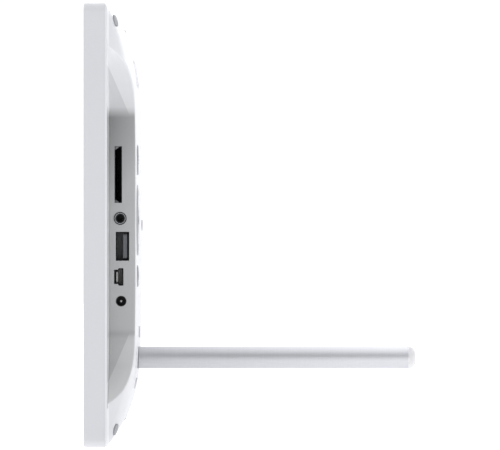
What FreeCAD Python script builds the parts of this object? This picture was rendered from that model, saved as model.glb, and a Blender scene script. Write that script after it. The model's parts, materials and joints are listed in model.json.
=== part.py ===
"""Digital photo frame that leans back on a screw-in stand rod.

Lengths are millimetres. The pieces are drawn in an upright working frame: X runs across the
display, with the port side at +X, Y runs from the front to the back, with 0 at the seam between
bezel and rear cover, and Z runs up from the bottom edge. Each finished piece is then leaned back
about X, so that the frame stands on the bezel's rear bottom edge and the tip of its rod.
"""
import FreeCAD, Part
import math
import os

Vec = FreeCAD.Vector

# ---- display and outer casing ------------------------------------------------------------
display_width = 211.2
display_height = 158.4
border_side = 24.4
border_end = 23.8
bezel_depth = 10.0
bezel_corner_radius = 4.0
bezel_edge_radius = 0.8
bezel_face = 2.5
bezel_wall = 2.4
opening_margin = 0.9
opening_bevel = 1.4
opening_corner_radius = 1.0

# ---- pillow-shaped rear cover: (distance in from the edge, height behind the seam) --------
cover_depth = 13.6
cover_step = 0.4
cover_rim = 0.8
cover_run = 48.0
cover_shoulder = (8.0, 7.4)
cover_crown_start = 24.0
cover_wall_in = 1.2
cover_wall = 1.8
cover_top_radius = 34.0
cover_sections = (0.0, 0.16, 0.34, 0.54, 0.76, 1.0)

# ---- port recess in the rear cover ----------------------------------------------------------
recess_depth_in = 45.0
recess_margin = 19.8
recess_slant = 20.7
recess_corner_radius = 18.0
recess_floor = 1.2
recess_wall = 2.0
recess_edge_radius = 0.6

# ---- connectors on the recess wall: heights from the middle of the frame, depth behind the seam
sd_height, sd_depth = 23.8, 5.25
sd_slot_length, sd_slot_width = 26.6, 3.5
jack_height, jack_depth = 3.2, 6.15
jack_ring_diameter, jack_bore = 5.7, 3.6
usb_height, usb_depth = -9.9, 7.25
usb_length, usb_width, usb_sheet = 13.2, 5.9, 0.3
mini_height, mini_depth = -24.3, 5.5
mini_length, mini_width, mini_sheet = 7.8, 4.0, 0.3
power_height, power_depth = -35.7, 6.6
power_mouth, power_pin = 5.0, 1.2
socket_body_depth = 10.0
sd_body_depth = 28.0
plug_gap = 0.2

# ---- buttons on the back: heights from the middle, distance in from the recess wall ---------
button_inset = 31.0
menu_key_height, menu_key_diameter = 30.9, 14.3
nav_key_height, nav_key_diameter = 2.4, 33.4
power_key_height, power_key_diameter = -24.1, 10.3
ok_key_diameter = 12.0
key_proud = 0.8
key_gap = 0.4
key_face = 1.5
key_flange = 1.2
nav_flange_drop = 1.0
nav_switch_radius = 9.0
plunger_radius = 1.7
switch_size = 4.5
switch_body = 1.2

# ---- stand -------------------------------------------------------------------------------
stand_inset = 39.2
rod_diameter = 10.5
rod_end = 143.5
tip_length = 3.6
tip_rounding = 3.4
tip_spigot_diameter = 6.0
tip_spigot_length = 8.0
stud_diameter = 6.0
stud_reach = 9.2
stud_in_rod = 14.0
stud_clearance = 0.05
washer_thickness = 0.7
washer_seat = 12.6
stand_screw_offset = 12.4
bracket_sheet = 2.0
bracket_width = 24.0
nut_diameter = 12.0
nut_length = 7.2

# ---- screws and plugs ----------------------------------------------------------------------
corner_screw_inset = 8.0
plug_diameter = 5.3
plug_proud = 0.6
well_clearance = 0.1
well_wall = 1.5
head_diameter = 4.8
head_height = 1.3
shank_radius = 1.3
small_head_diameter = 3.6
small_head_height = 1.0
small_shank_radius = 0.9

# ---- display module ------------------------------------------------------------------------
window_lap = 4.0
gasket_width = 3.0
gasket_thickness = 0.5
window_thickness = 1.0
module_margin_side = 7.15
module_margin_end = 9.05
module_front = -5.8
module_back = -0.9
module_sheet = 0.5
panel_thickness = 1.4
light_guide_thickness = 2.0
led_count = 18
module_bracket_reach = 6.0

# ---- boards and inner parts ----------------------------------------------------------------
board_thickness = 1.6
board_top = 3.2
board_width = 72.0
board_half_height = 46.0
board_gap = 0.4
key_board_top = 8.7
key_board_thickness = 1.2
key_board_width = 26.0
key_board_half_height = 36.0
speaker_diameter = 28.0
speaker_inset_side = 75.0
speaker_inset_bottom = 36.0
speaker_magnet_radius = 7.0
speaker_clamp_diameter = 7.2
vent_count = 13
vent_pitch = 7.0

frame_width = display_width + 2 * border_side
frame_height = display_height + 2 * border_end
half_width = frame_width / 2
middle = frame_height / 2
wall_x = half_width - recess_depth_in
inner_wall_x = wall_x - recess_wall
button_x = wall_x - button_inset
cover_inner_depth = cover_depth - cover_wall
rod_start = washer_seat + washer_thickness


# ---- helpers -------------------------------------------------------------------------------
def block(x0, x1, y0, y1, z0, z1):
    """Box between two corners."""
    return Part.makeBox(x1 - x0, y1 - y0, z1 - z0, Vec(x0, y0, z0))


def disc_y(radius, x, z, y0, y1):
    """Round bar along Y."""
    return Part.makeCylinder(radius, y1 - y0, Vec(x, y0, z), Vec(0, 1, 0))


def disc_x(radius, y, z, x0, x1):
    """Round bar along X."""
    return Part.makeCylinder(radius, x1 - x0, Vec(x0, y, z), Vec(1, 0, 0))


def ring_y(outer, inner, x, z, y0, y1):
    """Round tube along Y."""
    return disc_y(outer, x, z, y0, y1).cut(disc_y(inner, x, z, y0 - 1, y1 + 1))


def rounded_outline(width, height, radius, y, x=0.0, z=None):
    """Closed outline of a rectangle with round corners, in a plane across Y."""
    z = middle if z is None else z
    left, right = x - width / 2, x + width / 2
    low, high = z - height / 2, z + height / 2
    slant = radius * (1 - math.sqrt(0.5))
    edges = []
    corners = ((right, low, -1, 1), (right, high, -1, -1), (left, high, 1, -1), (left, low, 1, 1))
    joints = []
    for corner_x, corner_z, in_x, in_z in corners:
        along_x = Vec(corner_x + in_x * radius, y, corner_z)
        along_z = Vec(corner_x, y, corner_z + in_z * radius)
        mid = Vec(corner_x + in_x * slant, y, corner_z + in_z * slant)
        joints.append((along_x, mid, along_z))
    order = ((0, False), (1, True), (2, False), (3, True))
    ends = []
    for index, flipped in order:
        first, mid, last = joints[index]
        if flipped:
            first, last = last, first
        ends.append((first, mid, last))
    for index, (first, mid, last) in enumerate(ends):
        edges.append(Part.Arc(first, mid, last).toShape())
        following = ends[(index + 1) % len(ends)][0]
        edges.append(Part.LineSegment(last, following).toShape())
    return Part.Wire(edges)


def rounded_plate(width, height, radius, y0, y1, x=0.0, z=None):
    """Flat plate with round corners, lying across Y."""
    face = Part.Face(rounded_outline(width, height, radius, y0, x, z))
    return face.extrude(Vec(0, y1 - y0, 0))


def join(shapes):
    """One solid from pieces that touch or overlap."""
    first, rest = shapes[0], shapes[1:]
    return first.fuse(rest).removeSplitter() if rest else first


def outline_prism(points, y0, y1):
    """Prism along Y over a straight-sided outline of (x, z) points."""
    ring = [Vec(x, y0, z) for x, z in points]
    return Part.Face(Part.makePolygon(ring + ring[:1])).extrude(Vec(0, y1 - y0, 0))


def strip(points, thickness, z0, z1):
    """Flat flexible strip that follows (x, y) points."""
    lower = [Vec(x, y, z0) for x, y in points]
    upper = [Vec(x, y + thickness, z0) for x, y in reversed(points)]
    ring = lower + upper
    return Part.Face(Part.makePolygon(ring + ring[:1])).extrude(Vec(0, 0, z1 - z0))


def tube(points, radius):
    """Round wire along straight runs joined by tangent arcs as large as the runs allow."""
    nodes = [Vec(*point) for point in points]
    edges = []
    start = nodes[0]
    for before, corner, after in zip(nodes, nodes[1:], nodes[2:]):
        back = before - corner
        ahead = after - corner
        reach = 0.45 * min(back.Length, ahead.Length)
        back.normalize()
        ahead.normalize()
        turn = math.pi - back.getAngle(ahead)
        bend = reach / math.tan(turn / 2)
        middle_direction = back + ahead
        middle_direction.normalize()
        centre_distance = math.hypot(reach, bend)
        entry = corner + back * reach
        leave = corner + ahead * reach
        crown = corner + middle_direction * (centre_distance - bend)
        edges.append(Part.LineSegment(start, entry).toShape())
        edges.append(Part.Arc(entry, crown, leave).toShape())
        start = leave
    edges.append(Part.LineSegment(start, nodes[-1]).toShape())
    path = Part.Wire(edges)
    section = Part.Wire(Part.makeCircle(radius, nodes[0], nodes[1] - nodes[0]))
    return path.makePipeShell([section], True, False)


def cover_profile(t):
    """Distance in from the edge and height of the cover's surface, along a smooth curve."""
    poles = ((cover_step, cover_rim), cover_shoulder,
             (cover_crown_start, cover_depth), (cover_run, cover_depth))
    weights = ((1 - t) ** 3, 3 * t * (1 - t) ** 2, 3 * t * t * (1 - t), t ** 3)
    inset = sum(w * p[0] for w, p in zip(weights, poles))
    height = sum(w * p[1] for w, p in zip(weights, poles))
    return inset, height


def pillow(shift_in, drop):
    """Solid under the cover's surface, or under the same surface moved in and down."""
    outlines = []
    growth = (cover_top_radius - bezel_corner_radius) / cover_run
    for t in cover_sections:
        inset, height = cover_profile(t)
        radius = bezel_corner_radius + growth * inset - 0.6 * shift_in
        side = inset + shift_in
        outlines.append(rounded_outline(frame_width - 2 * side, frame_height - 2 * side,
                                        radius, height - drop))
    dome = Part.makeLoft(outlines, True, False)
    if drop > 0:
        return dome
    base = rounded_plate(frame_width - 2 * cover_step, frame_height - 2 * cover_step,
                         bezel_corner_radius, 0, cover_rim)
    return base.fuse(dome)


def recess(grow, floor):
    """Space of the port recess, or the same space grown by a wall."""
    reach = half_width + 10
    outer_half = middle - recess_margin + grow + recess_slant / recess_depth_in * 10
    inner_half = middle - recess_margin - recess_slant + grow * 1.12
    outline = ((reach, middle - outer_half), (wall_x - grow, middle - inner_half),
               (wall_x - grow, middle + inner_half), (reach, middle + outer_half))
    prism = outline_prism(outline, floor, cover_depth + 10)
    radius = recess_corner_radius + grow
    upright = []
    for edge in prism.Edges:
        point = edge.CenterOfMass
        along_y = edge.BoundBox.XLength < 1e-6 and edge.BoundBox.ZLength < 1e-6
        if along_y and abs(point.x - (wall_x - grow)) < 1e-6:
            upright.append(edge)
    return prism.makeFillet(radius, upright)


# ---- casing --------------------------------------------------------------------------------
def corner_sites():
    """Centres of the four cover screws."""
    x = half_width - corner_screw_inset
    return [(sx * x, middle + sz * (middle - corner_screw_inset))
            for sx in (-1, 1) for sz in (-1, 1)]


def stand_sites():
    """Centre of each stand socket, with the direction of its two screws."""
    return [((0.0, stand_inset), (0, 1)), ((stand_inset - half_width, middle), (1, 0))]


def stand_screw_sites():
    """Centres of the screws beside each stand socket."""
    return [(x + step * dx, z + step * dz)
            for (x, z), (dx, dz) in stand_sites()
            for step in (-stand_screw_offset, stand_screw_offset)]


def module_screw_sites():
    """Centres of the screws that hold the display module."""
    return [(x, z) for x in (-70.0, 64.0)
            for z in (7.6, frame_height - 7.6)]


def front_bezel():
    """White front frame: face, side walls and screw bosses."""
    shell = rounded_plate(frame_width, frame_height, bezel_corner_radius, -bezel_depth, 0)
    front = [e for e in shell.Edges if abs(e.BoundBox.YMin + bezel_depth) < 1e-6
             and abs(e.BoundBox.YMax + bezel_depth) < 1e-6]
    shell = shell.makeFillet(bezel_edge_radius, front)
    hollow = rounded_plate(frame_width - 2 * bezel_wall, frame_height - 2 * bezel_wall,
                           bezel_corner_radius - 2, bezel_face - bezel_depth, 1)
    shell = shell.cut(hollow)
    opening_width = display_width + 2 * opening_margin
    opening_height = display_height + 2 * opening_margin
    opening = rounded_plate(opening_width, opening_height, opening_corner_radius,
                            -bezel_depth - 1, bezel_face - bezel_depth + 1)
    bevel = Part.makeLoft([
        rounded_outline(opening_width + 2 * opening_bevel, opening_height + 2 * opening_bevel,
                        opening_corner_radius + opening_bevel, -bezel_depth),
        rounded_outline(opening_width, opening_height, opening_corner_radius,
                        opening_bevel - bezel_depth)], True, True)
    shell = shell.cut([opening, bevel])
    inner = bezel_face - bezel_depth
    bosses = [disc_y(3.4, x, z, inner - 0.5, 0) for x, z in corner_sites()]
    bosses += [disc_y(3.0, x, z, inner - 0.5, module_back) for x, z in module_screw_sites()]
    holes = [disc_y(shank_radius + 0.05, x, z, -6.5, 1) for x, z in corner_sites()]
    holes += [disc_y(small_shank_radius + 0.05, x, z, -6.5, 1) for x, z in module_screw_sites()]
    return join([shell] + bosses).cut(holes)


def vent_slots():
    """Row of slots that let warm air out near the top of the cover."""
    first = -(vent_count - 1) / 2 * vent_pitch
    top = frame_height - 30.0
    return [rounded_plate(2.2, 14.0, 1.05, 0, cover_depth + 1, first + i * vent_pitch, top)
            for i in range(vent_count)]


def speaker_sites():
    """Centres of the two loudspeakers."""
    x = half_width - speaker_inset_side
    return [(-x, speaker_inset_bottom), (x, speaker_inset_bottom)]


def grille_holes():
    """Rings of small holes over each loudspeaker."""
    holes = []
    for x, z in speaker_sites():
        holes.append(disc_y(0.9, x, z, 5, cover_depth + 1))
        for ring, count in ((3.2, 6), (6.4, 12), (9.6, 18)):
            for i in range(count):
                angle = 2 * math.pi * i / count
                holes.append(disc_y(0.9, x + ring * math.cos(angle), z + ring * math.sin(angle),
                                    5, cover_depth + 1))
    return holes


def board_screw_sites():
    """Centres of the main board's screws."""
    left, right = inner_wall_x - board_gap - board_width + 4, inner_wall_x - board_gap - 4
    return [(left, middle - board_half_height + 4), (left, middle + board_half_height - 4),
            (right - 14, middle + board_half_height - 4), (right - 30, middle - board_half_height + 4)]


def key_board_screw_sites():
    """Centres of the key board's screws, clear of the keys."""
    x = button_x - 10
    return [(x, middle + 23.0), (x, middle - 18.5)]


def key_sites():
    """Place and diameter of each key in the back."""
    return [(button_x, middle + menu_key_height, menu_key_diameter),
            (button_x, middle + nav_key_height, nav_key_diameter),
            (button_x, middle + power_key_height, power_key_diameter)]


def port_cuts():
    """Openings through the recess wall, one for each connector."""
    x0, x1 = inner_wall_x - 1, wall_x + 1
    cuts = []
    for height, depth, length, width in (
            (sd_height, sd_depth, sd_slot_length, sd_slot_width),
            (usb_height, usb_depth, usb_length + 2 * plug_gap, usb_width + 2 * plug_gap)):
        z = middle + height
        cuts.append(block(x0, x1, depth - width / 2, depth + width / 2,
                          z - length / 2, z + length / 2))
    cuts.append(mini_usb_form(mini_length + 2 * plug_gap, mini_width + 2 * plug_gap, x0, x1))
    cuts.append(disc_x(jack_ring_diameter / 2 + plug_gap, jack_depth, middle + jack_height, x0, x1))
    cuts.append(disc_x(power_mouth / 2, power_depth, middle + power_height, x0, x1))
    return cuts


def mini_usb_form(length, width, x0, x1):
    """Solid with the stepped outline of a mini-USB plug."""
    z = middle + mini_height
    low, high = mini_depth - width / 2, mini_depth + width / 2
    step = mini_depth - width * 0.1
    narrow = length / 2 - 0.75
    points = [(low, z - narrow), (step, z - narrow), (step + 0.5, z - length / 2),
              (high, z - length / 2), (high, z + length / 2), (step + 0.5, z + length / 2),
              (step, z + narrow), (low, z + narrow)]
    ring = [Vec(x0, y, height) for y, height in points]
    return Part.Face(Part.makePolygon(ring + ring[:1])).extrude(Vec(x1 - x0, 0, 0))


def recessed_pillow(outer, notch):
    """Outer form with the recess cut into it and the recess's rim rounded over."""
    body = outer.cut(notch)
    rim = []
    for edge in body.Edges:
        first, last = edge.ParameterRange
        point = edge.valueAt((first + last) / 2)
        spot = Part.Vertex(point)
        on_recess = spot.distToShape(notch.Shells[0])[0] < 1e-3
        on_pillow = spot.distToShape(outer.Shells[0])[0] < 1e-3
        if on_recess and on_pillow and point.y > recess_floor + 0.3:
            rim.append(edge)
    return body.makeFillet(recess_edge_radius, rim)


def rear_cover():
    """Pillow-shaped back with its port recess, wells, posts, vents and key holes."""
    outer = pillow(0, 0)
    hollow = pillow(cover_wall_in, cover_wall)
    cavity = hollow.cut(recess(recess_wall, -5))
    shell = recessed_pillow(outer, recess(0, recess_floor)).cut(cavity)
    posts = [disc_y(head_diameter / 2 + well_wall + 0.3, x, z, 0, cover_depth)
             for x, z in corner_sites()]
    bracket_top = bracket_back()
    posts += [disc_y(head_diameter / 2 + well_wall + 0.3, x, z, bracket_top, cover_depth)
              for x, z in stand_screw_sites()]
    posts += [disc_y(2.6, x, z, board_top, cover_depth - 1) for x, z in board_screw_sites()]
    posts += [disc_y(2.3, x, z, key_board_top, cover_depth - 1) for x, z in key_board_screw_sites()]
    for x, z in speaker_sites():
        posts.append(ring_y(speaker_diameter / 2 + 1.5, speaker_diameter / 2 + 0.3, x, z,
                            4.0, cover_depth))
        posts += [disc_y(2.2, x + side * (speaker_diameter / 2 + 3.2), z, 6.2, cover_depth)
                  for side in (-1, 1)]
    posts = [post.common(outer) for post in posts]
    shell = shell.fuse(posts)
    cuts = vent_slots() + grille_holes() + port_cuts()
    well = plug_diameter / 2 + well_clearance
    for x, z in corner_sites():
        cuts.append(disc_y(well, x, z, recess_floor + 0.2, cover_depth + 1))
        cuts.append(disc_y(shank_radius + 0.2, x, z, -1, 3))
    for x, z in stand_screw_sites():
        cuts.append(disc_y(well, x, z, bracket_top + 1.6, cover_depth + 1))
        cuts.append(disc_y(shank_radius + 0.2, x, z, bracket_top - 1, bracket_top + 3))
    for (x, z), _ in stand_sites():
        cuts.append(disc_y(rod_diameter / 2 + 0.35, x, z, washer_seat, cover_depth + 1))
        cuts.append(disc_y(stud_diameter / 2 + 0.4, x, z, 0.5, cover_depth + 1))
    for x, z, diameter in key_sites():
        cuts.append(disc_y(diameter / 2 + key_gap, x, z, 5, cover_depth + 1))
    for x, z in board_screw_sites():
        cuts.append(disc_y(small_shank_radius, x, z, board_top - 1, board_top + 5))
    for x, z in key_board_screw_sites():
        cuts.append(disc_y(small_shank_radius, x, z, key_board_top - 1, key_board_top + 2.6))
    for x, z in speaker_screw_sites():
        cuts.append(disc_y(small_shank_radius, x, z, 5, 6.2 + 2.0))
        cuts.append(disc_y(speaker_clamp_diameter / 2 + 0.2, x, z, 3, 6.2))
    return shell.cut(cuts)


def bracket_back():
    """Rear face of the stand brackets, where the screw wells end."""
    return 5.0 + bracket_sheet


def screw(x, z, seat, tip, head, height, radius, toward_front=True):
    """Round-head screw along Y, with a cross slot in its head."""
    side = 1 if toward_front else -1
    far = seat + side * height
    cap = disc_y(head / 2, x, z, min(seat, far), max(seat, far))
    shank = disc_y(radius, x, z, min(seat, tip), max(seat, tip))
    width = head * 0.16
    reach = head * 0.32
    depth0, depth1 = sorted((far - side * height * 0.55, far + side * 1))
    slots = [block(x - reach, x + reach, depth0, depth1, z - width / 2, z + width / 2),
             block(x - width / 2, x + width / 2, depth0, depth1, z - reach, z + reach)]
    return cap.fuse(shank).cut(slots)


def cover_screws():
    """Four screws that hold the cover to the bezel."""
    seat = recess_floor + 0.2
    return [screw(x, z, seat, -5.8, head_diameter, head_height, shank_radius)
            for x, z in corner_sites()]


def stand_bracket_screws():
    """Screws that hold the stand brackets to the cover."""
    seat = bracket_back() + 1.6
    return [screw(x, z, seat, 4.2, head_diameter, head_height, shank_radius)
            for x, z in stand_screw_sites()]


def screw_plugs():
    """Grey plugs that cover the screws and stand a little proud of the sloping surface."""
    raised = pillow(0, 0).translated(Vec(0, plug_proud, 0))
    seats = [(x, z, recess_floor + 0.2 + head_height + 0.1) for x, z in corner_sites()]
    seats += [(x, z, bracket_back() + 1.6 + head_height + 0.1) for x, z in stand_screw_sites()]
    return [disc_y(plug_diameter / 2, x, z, seat, cover_depth + 2).common(raised)
            for x, z, seat in seats]


# ---- display -------------------------------------------------------------------------------
def window_sizes():
    """Width and height of the clear window."""
    lap = opening_margin + window_lap
    return display_width + 2 * lap, display_height + 2 * lap


def window_gasket():
    """Thin foam frame between bezel and window."""
    width, height = window_sizes()
    front = bezel_face - bezel_depth
    outer = rounded_plate(width, height, 1, front, front + gasket_thickness)
    inner = rounded_plate(width - 2 * gasket_width, height - 2 * gasket_width, 1,
                          front - 1, front + gasket_thickness + 1)
    return outer.cut(inner)


def front_window():
    """Clear sheet in front of the display."""
    width, height = window_sizes()
    front = bezel_face - bezel_depth + gasket_thickness
    return rounded_plate(width, height, 1, front, front + window_thickness)


def module_size(shrink):
    """Width and height of the display module, less a clearance all round."""
    return (display_width + 2 * (module_margin_side - shrink),
            display_height + 2 * (module_margin_end - shrink))


def lcd_front_frame():
    """Pressed steel frame round the panel."""
    width, height = module_size(0)
    shell = rounded_plate(width, height, 1.5, module_front, module_back)
    inner = rounded_plate(width - 2 * module_sheet, height - 2 * module_sheet, 1,
                          module_front + module_sheet, module_back + 1)
    window = rounded_plate(display_width + 1.2, display_height + 1.2, 0.5,
                           module_front - 1, module_back)
    return shell.cut([inner, window])


def lcd_panel():
    """Glass panel of the display."""
    width, height = module_size(module_sheet + 1.1)
    front = module_front + module_sheet + 0.05
    return rounded_plate(width, height, 0.5, front, front + panel_thickness)


def guide_front():
    """Front face of the light guide."""
    return module_front + module_sheet + 0.05 + panel_thickness + 0.1


def light_guide():
    """Clear plate that spreads the backlight, a little shorter than the panel."""
    width, height = module_size(module_sheet + 1.6)
    front = guide_front()
    return rounded_plate(width, height - 6, 0.5, front, front + light_guide_thickness,
                         0, middle + 2.5)


def led_strip():
    """Narrow board under the light guide with its row of lamps, each a separate solid."""
    width, height = module_size(module_sheet + 1.6)
    low = middle - height / 2
    front = guide_front()
    strip_board = block(-width / 2, width / 2, front, front + light_guide_thickness, low, low + 1)
    pitch = width / led_count
    lamps = []
    for i in range(led_count):
        x = -width / 2 + (i + 0.5) * pitch
        lamps.append(block(x - 1.8, x + 1.8, front + 0.2, front + 1.8, low + 1, low + 2.2))
    return [strip_board] + lamps


def lcd_rear_tray():
    """Shallow steel tray that closes the module's back."""
    width, height = module_size(module_sheet + 0.1)
    shell = rounded_plate(width, height, 1, guide_front() - 0.2, module_back - 0.05)
    inner = rounded_plate(width - 1, height - 1, 0.5, guide_front() - 1.2, module_back - 0.55)
    return shell.cut(inner)


def lcd_brackets():
    """Four flat clips that press the module against the bezel."""
    clips = []
    for x, z in module_screw_sites():
        inward = 1 if z < middle else -1
        end = middle - inward * (module_size(0)[1] / 2 - module_bracket_reach)
        low, high = sorted((z - inward * 3.4, end))
        clip = block(x - 6, x + 6, module_back, module_back + 0.6, low, high)
        clips.append(clip.cut(disc_y(small_shank_radius + 0.1, x, z, -2, 2)))
    return clips


def bracket_screws():
    """Screws of the display clips."""
    seat = module_back + 0.6
    return [screw(x, z, seat, -6.0, small_head_diameter, small_head_height, small_shank_radius)
            for x, z in module_screw_sites()]


# ---- boards --------------------------------------------------------------------------------
def board_right():
    """Edge of the main board beside the recess wall."""
    return inner_wall_x - board_gap


def main_board():
    """Main circuit board, parallel to the display."""
    right = board_right()
    board = block(right - board_width, right, board_top - board_thickness, board_top,
                  middle - board_half_height, middle + board_half_height)
    return board.cut([disc_y(small_shank_radius + 0.1, x, z, 0, 5) for x, z in board_screw_sites()])


def board_screws():
    """Screws that hold the main board to the cover's posts, put in from the front."""
    seat = board_top - board_thickness
    return [screw(x, z, seat, board_top + 4.6, small_head_diameter, small_head_height,
                  small_shank_radius, False) for x, z in board_screw_sites()]


def on_board(x0, x1, z0, z1, height, lift=0.0):
    """Box-shaped part on the main board, placed from its right edge and the middle."""
    right = board_right()
    return block(right + x0, right + x1, board_top + lift, board_top + lift + height,
                 middle + z0, middle + z1)


def memory_chips():
    """Two flat memory chips."""
    return [on_board(-50, -38, z, z + 18.4, 1.1) for z in (19, -3)]


def board_capacitors():
    """Upright round capacitors."""
    x = board_right()
    return [disc_y(2.5, x - dx, middle + dz, board_top, board_top + 5.4)
            for dx, dz in ((24, -40), (47, -33), (60, 34), (60, 42), (44, 43))]


def board_inductors():
    """Wound inductors of the power supply, as round-cornered blocks."""
    x = board_right()
    return [rounded_plate(6, 6, 1.4, board_top, board_top + 3, x - dx, middle + dz)
            for dx, dz in ((18, -33), (27, -31), (47, -41))]


def ribbon_sockets():
    """Low sockets that take the ribbon cables."""
    return [on_board(-70, -66, -12, 12, 1.4), on_board(-43, -39, -27, -13, 1.4),
            on_board(-62, -57, -44, -38, 3.0)]


def sd_card_socket():
    """Metal card socket with an open slot toward the recess."""
    x1 = inner_wall_x - 0.1
    z = middle + sd_height
    half = sd_slot_length / 2 + 0.9
    body = block(x1 - sd_body_depth, x1, board_top, sd_depth + sd_slot_width / 2 + 0.1,
                 z - half, z + half)
    slot = block(x1 - sd_body_depth + 2, x1 + 1, sd_depth - 1.3, sd_depth + 1.3,
                 z - half + 1.6, z + half - 1.6)
    return body.cut(slot)


def headphone_jack_body():
    """Black body behind the headphone jack's ring."""
    x1 = inner_wall_x - 0.1
    z = middle + jack_height
    body = block(x1 - socket_body_depth, x1, board_top, jack_depth + 3.1, z - 3.2, z + 3.2)
    return body.cut(disc_x(jack_bore / 2, jack_depth, z, x1 - socket_body_depth + 1, x1 + 1))


def headphone_jack_ring():
    """Bright metal ring of the headphone jack, flush with the recess wall."""
    z = middle + jack_height
    nose = disc_x(jack_ring_diameter / 2, jack_depth, z, inner_wall_x - 0.1, wall_x + 0.2)
    return nose.cut(disc_x(jack_bore / 2, jack_depth, z, inner_wall_x - 2, wall_x + 2))


def usb_a_shell():
    """Folded metal shell of the large USB socket."""
    x1 = wall_x - 0.5
    x0 = inner_wall_x - socket_body_depth
    z = middle + usb_height
    half = usb_length / 2
    outer = block(x0, x1, usb_depth - usb_width / 2, usb_depth + usb_width / 2, z - half, z + half)
    inner = block(x0 + usb_sheet, x1 + 1, usb_depth - usb_width / 2 + usb_sheet,
                  usb_depth + usb_width / 2 - usb_sheet, z - half + usb_sheet, z + half - usb_sheet)
    return outer.cut(inner)


def usb_a_tongue():
    """Plastic tongue inside the large USB socket, with a base block that fills its back."""
    x0 = inner_wall_x - socket_body_depth + usb_sheet
    z = middle + usb_height
    inside_half = usb_length / 2 - usb_sheet
    top = usb_depth + usb_width / 2 - usb_sheet
    base = block(x0, x0 + 2.5, usb_depth - usb_width / 2 + usb_sheet, top,
                 z - inside_half, z + inside_half)
    tongue = block(x0, wall_x - 1.2, top - 2.3, top - 0.5, z - inside_half + 0.7,
                   z + inside_half - 0.7)
    return base.fuse(tongue)


def mini_usb_shell():
    """Metal shell of the mini-USB socket."""
    x1 = wall_x - 0.4
    x0 = inner_wall_x - socket_body_depth + 3
    outer = mini_usb_form(mini_length, mini_width, x0, x1)
    inner = mini_usb_form(mini_length - 2 * mini_sheet, mini_width - 2 * mini_sheet,
                          x0 + mini_sheet, x1 + 1)
    return outer.cut(inner)


def mini_usb_tongue():
    """Plastic tongue of the mini-USB socket."""
    x0 = inner_wall_x - socket_body_depth + 3 + mini_sheet
    z = middle + mini_height
    low = mini_depth - mini_width / 2 + mini_sheet
    tongue = block(x0, wall_x - 0.9, low + 0.5, low + 1.3, z - 2.3, z + 2.3)
    base = mini_usb_form(mini_length - 2 * mini_sheet, mini_width - 2 * mini_sheet, x0, x0 + 1.5)
    return base.fuse(tongue)


def dc_jack_body():
    """Black body of the power inlet."""
    x1 = inner_wall_x - 0.1
    z = middle + power_height
    body = block(x1 - socket_body_depth, x1, board_top, power_depth + 3.4, z - 4.2, z + 4.2)
    return body.cut(disc_x(power_mouth / 2 - 0.25, power_depth, z, x1 - 8.5, x1 + 1))


def dc_jack_pin():
    """Centre pin of the power inlet."""
    x1 = inner_wall_x - 0.1
    z = middle + power_height
    pin = disc_x(power_pin / 2, power_depth, z, x1 - 8.5, wall_x - 0.8)
    tip = [e for e in pin.Edges if abs(e.BoundBox.XMin - e.BoundBox.XMax) < 1e-6
           and e.BoundBox.XMin > x1]
    return pin.makeFillet(power_pin * 0.4, tip)


def coin_cell_place():
    """Centre of the clock battery."""
    return board_right() - 55, middle - 20


def coin_cell_holder():
    """Open plastic ring that holds the clock battery."""
    x, z = coin_cell_place()
    return ring_y(11.2, 10.1, x, z, board_top, board_top + 2.4)


def coin_cell():
    """Clock battery."""
    x, z = coin_cell_place()
    return disc_y(10.0, x, z, board_top + 0.1, board_top + 3.3)


def lcd_ribbon_cable():
    """Flat cable from the display module to the main board."""
    end = board_right() - 70
    low = module_back
    path = [(end - 44, low), (end - 20, low), (end - 8, board_top + 0.6), (end, board_top + 0.6)]
    return strip(path, 0.25, middle - 10, middle + 10)


def key_ribbon_cable():
    """Flat cable from the key board to the main board."""
    end = board_right() - 39
    top = key_board_top - key_board_thickness - 0.25
    path = [(end, board_top + 0.6), (end + 2, board_top + 0.6), (end + 7, top), (end + 16, top)]
    return strip(path, 0.25, middle - 25, middle - 15)


# ---- loudspeakers --------------------------------------------------------------------------
def speaker_screw_sites():
    """Centres of the loudspeaker screws."""
    return [(x + side * (speaker_diameter / 2 + 3.2), z)
            for x, z in speaker_sites() for side in (-1, 1)]


def speaker_baskets():
    """Steel baskets with a rim."""
    baskets = []
    for x, z in speaker_sites():
        rim = ring_y(speaker_diameter / 2, speaker_diameter / 2 - 2, x, z, 6.0, 7.0)
        bowl = Part.makeCone(8, speaker_diameter / 2 - 0.6, 3.5, Vec(x, 2.5, z), Vec(0, 1, 0))
        hollow = Part.makeCone(7.4, speaker_diameter / 2 - 1.6, 3.6, Vec(x, 3.1, z), Vec(0, 1, 0))
        basket = bowl.fuse(disc_y(speaker_diameter / 2 - 0.6, x, z, 6.0, 6.8)).fuse(rim)
        inner = disc_y(speaker_diameter / 2 - 2, x, z, 6.0, 8.0)
        baskets.append(basket.cut([hollow, inner]))
    return baskets


def speaker_cones():
    """Paper cones with a centre dome."""
    cones = []
    for x, z in speaker_sites():
        outer = Part.makeCone(4, speaker_diameter / 2 - 2.2, 2.4, Vec(x, 4.2, z), Vec(0, 1, 0))
        inner = Part.makeCone(3.6, speaker_diameter / 2 - 2.4, 2.4, Vec(x, 4.5, z), Vec(0, 1, 0))
        coil = disc_y(3.0, x, z, 3.2, 5.2)
        cones.append(outer.cut(inner).fuse(coil))
    return cones


def speaker_magnets():
    """Magnets behind the baskets."""
    return [disc_y(speaker_magnet_radius, x, z, 0.2, 2.5) for x, z in speaker_sites()]


def speaker_screws():
    """Screws with wide heads that clamp each basket's rim to the cover's posts."""
    return [screw(x, z, 6.0, 8.0, speaker_clamp_diameter, 0.8, small_shank_radius, False)
            for x, z in speaker_screw_sites()]


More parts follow.
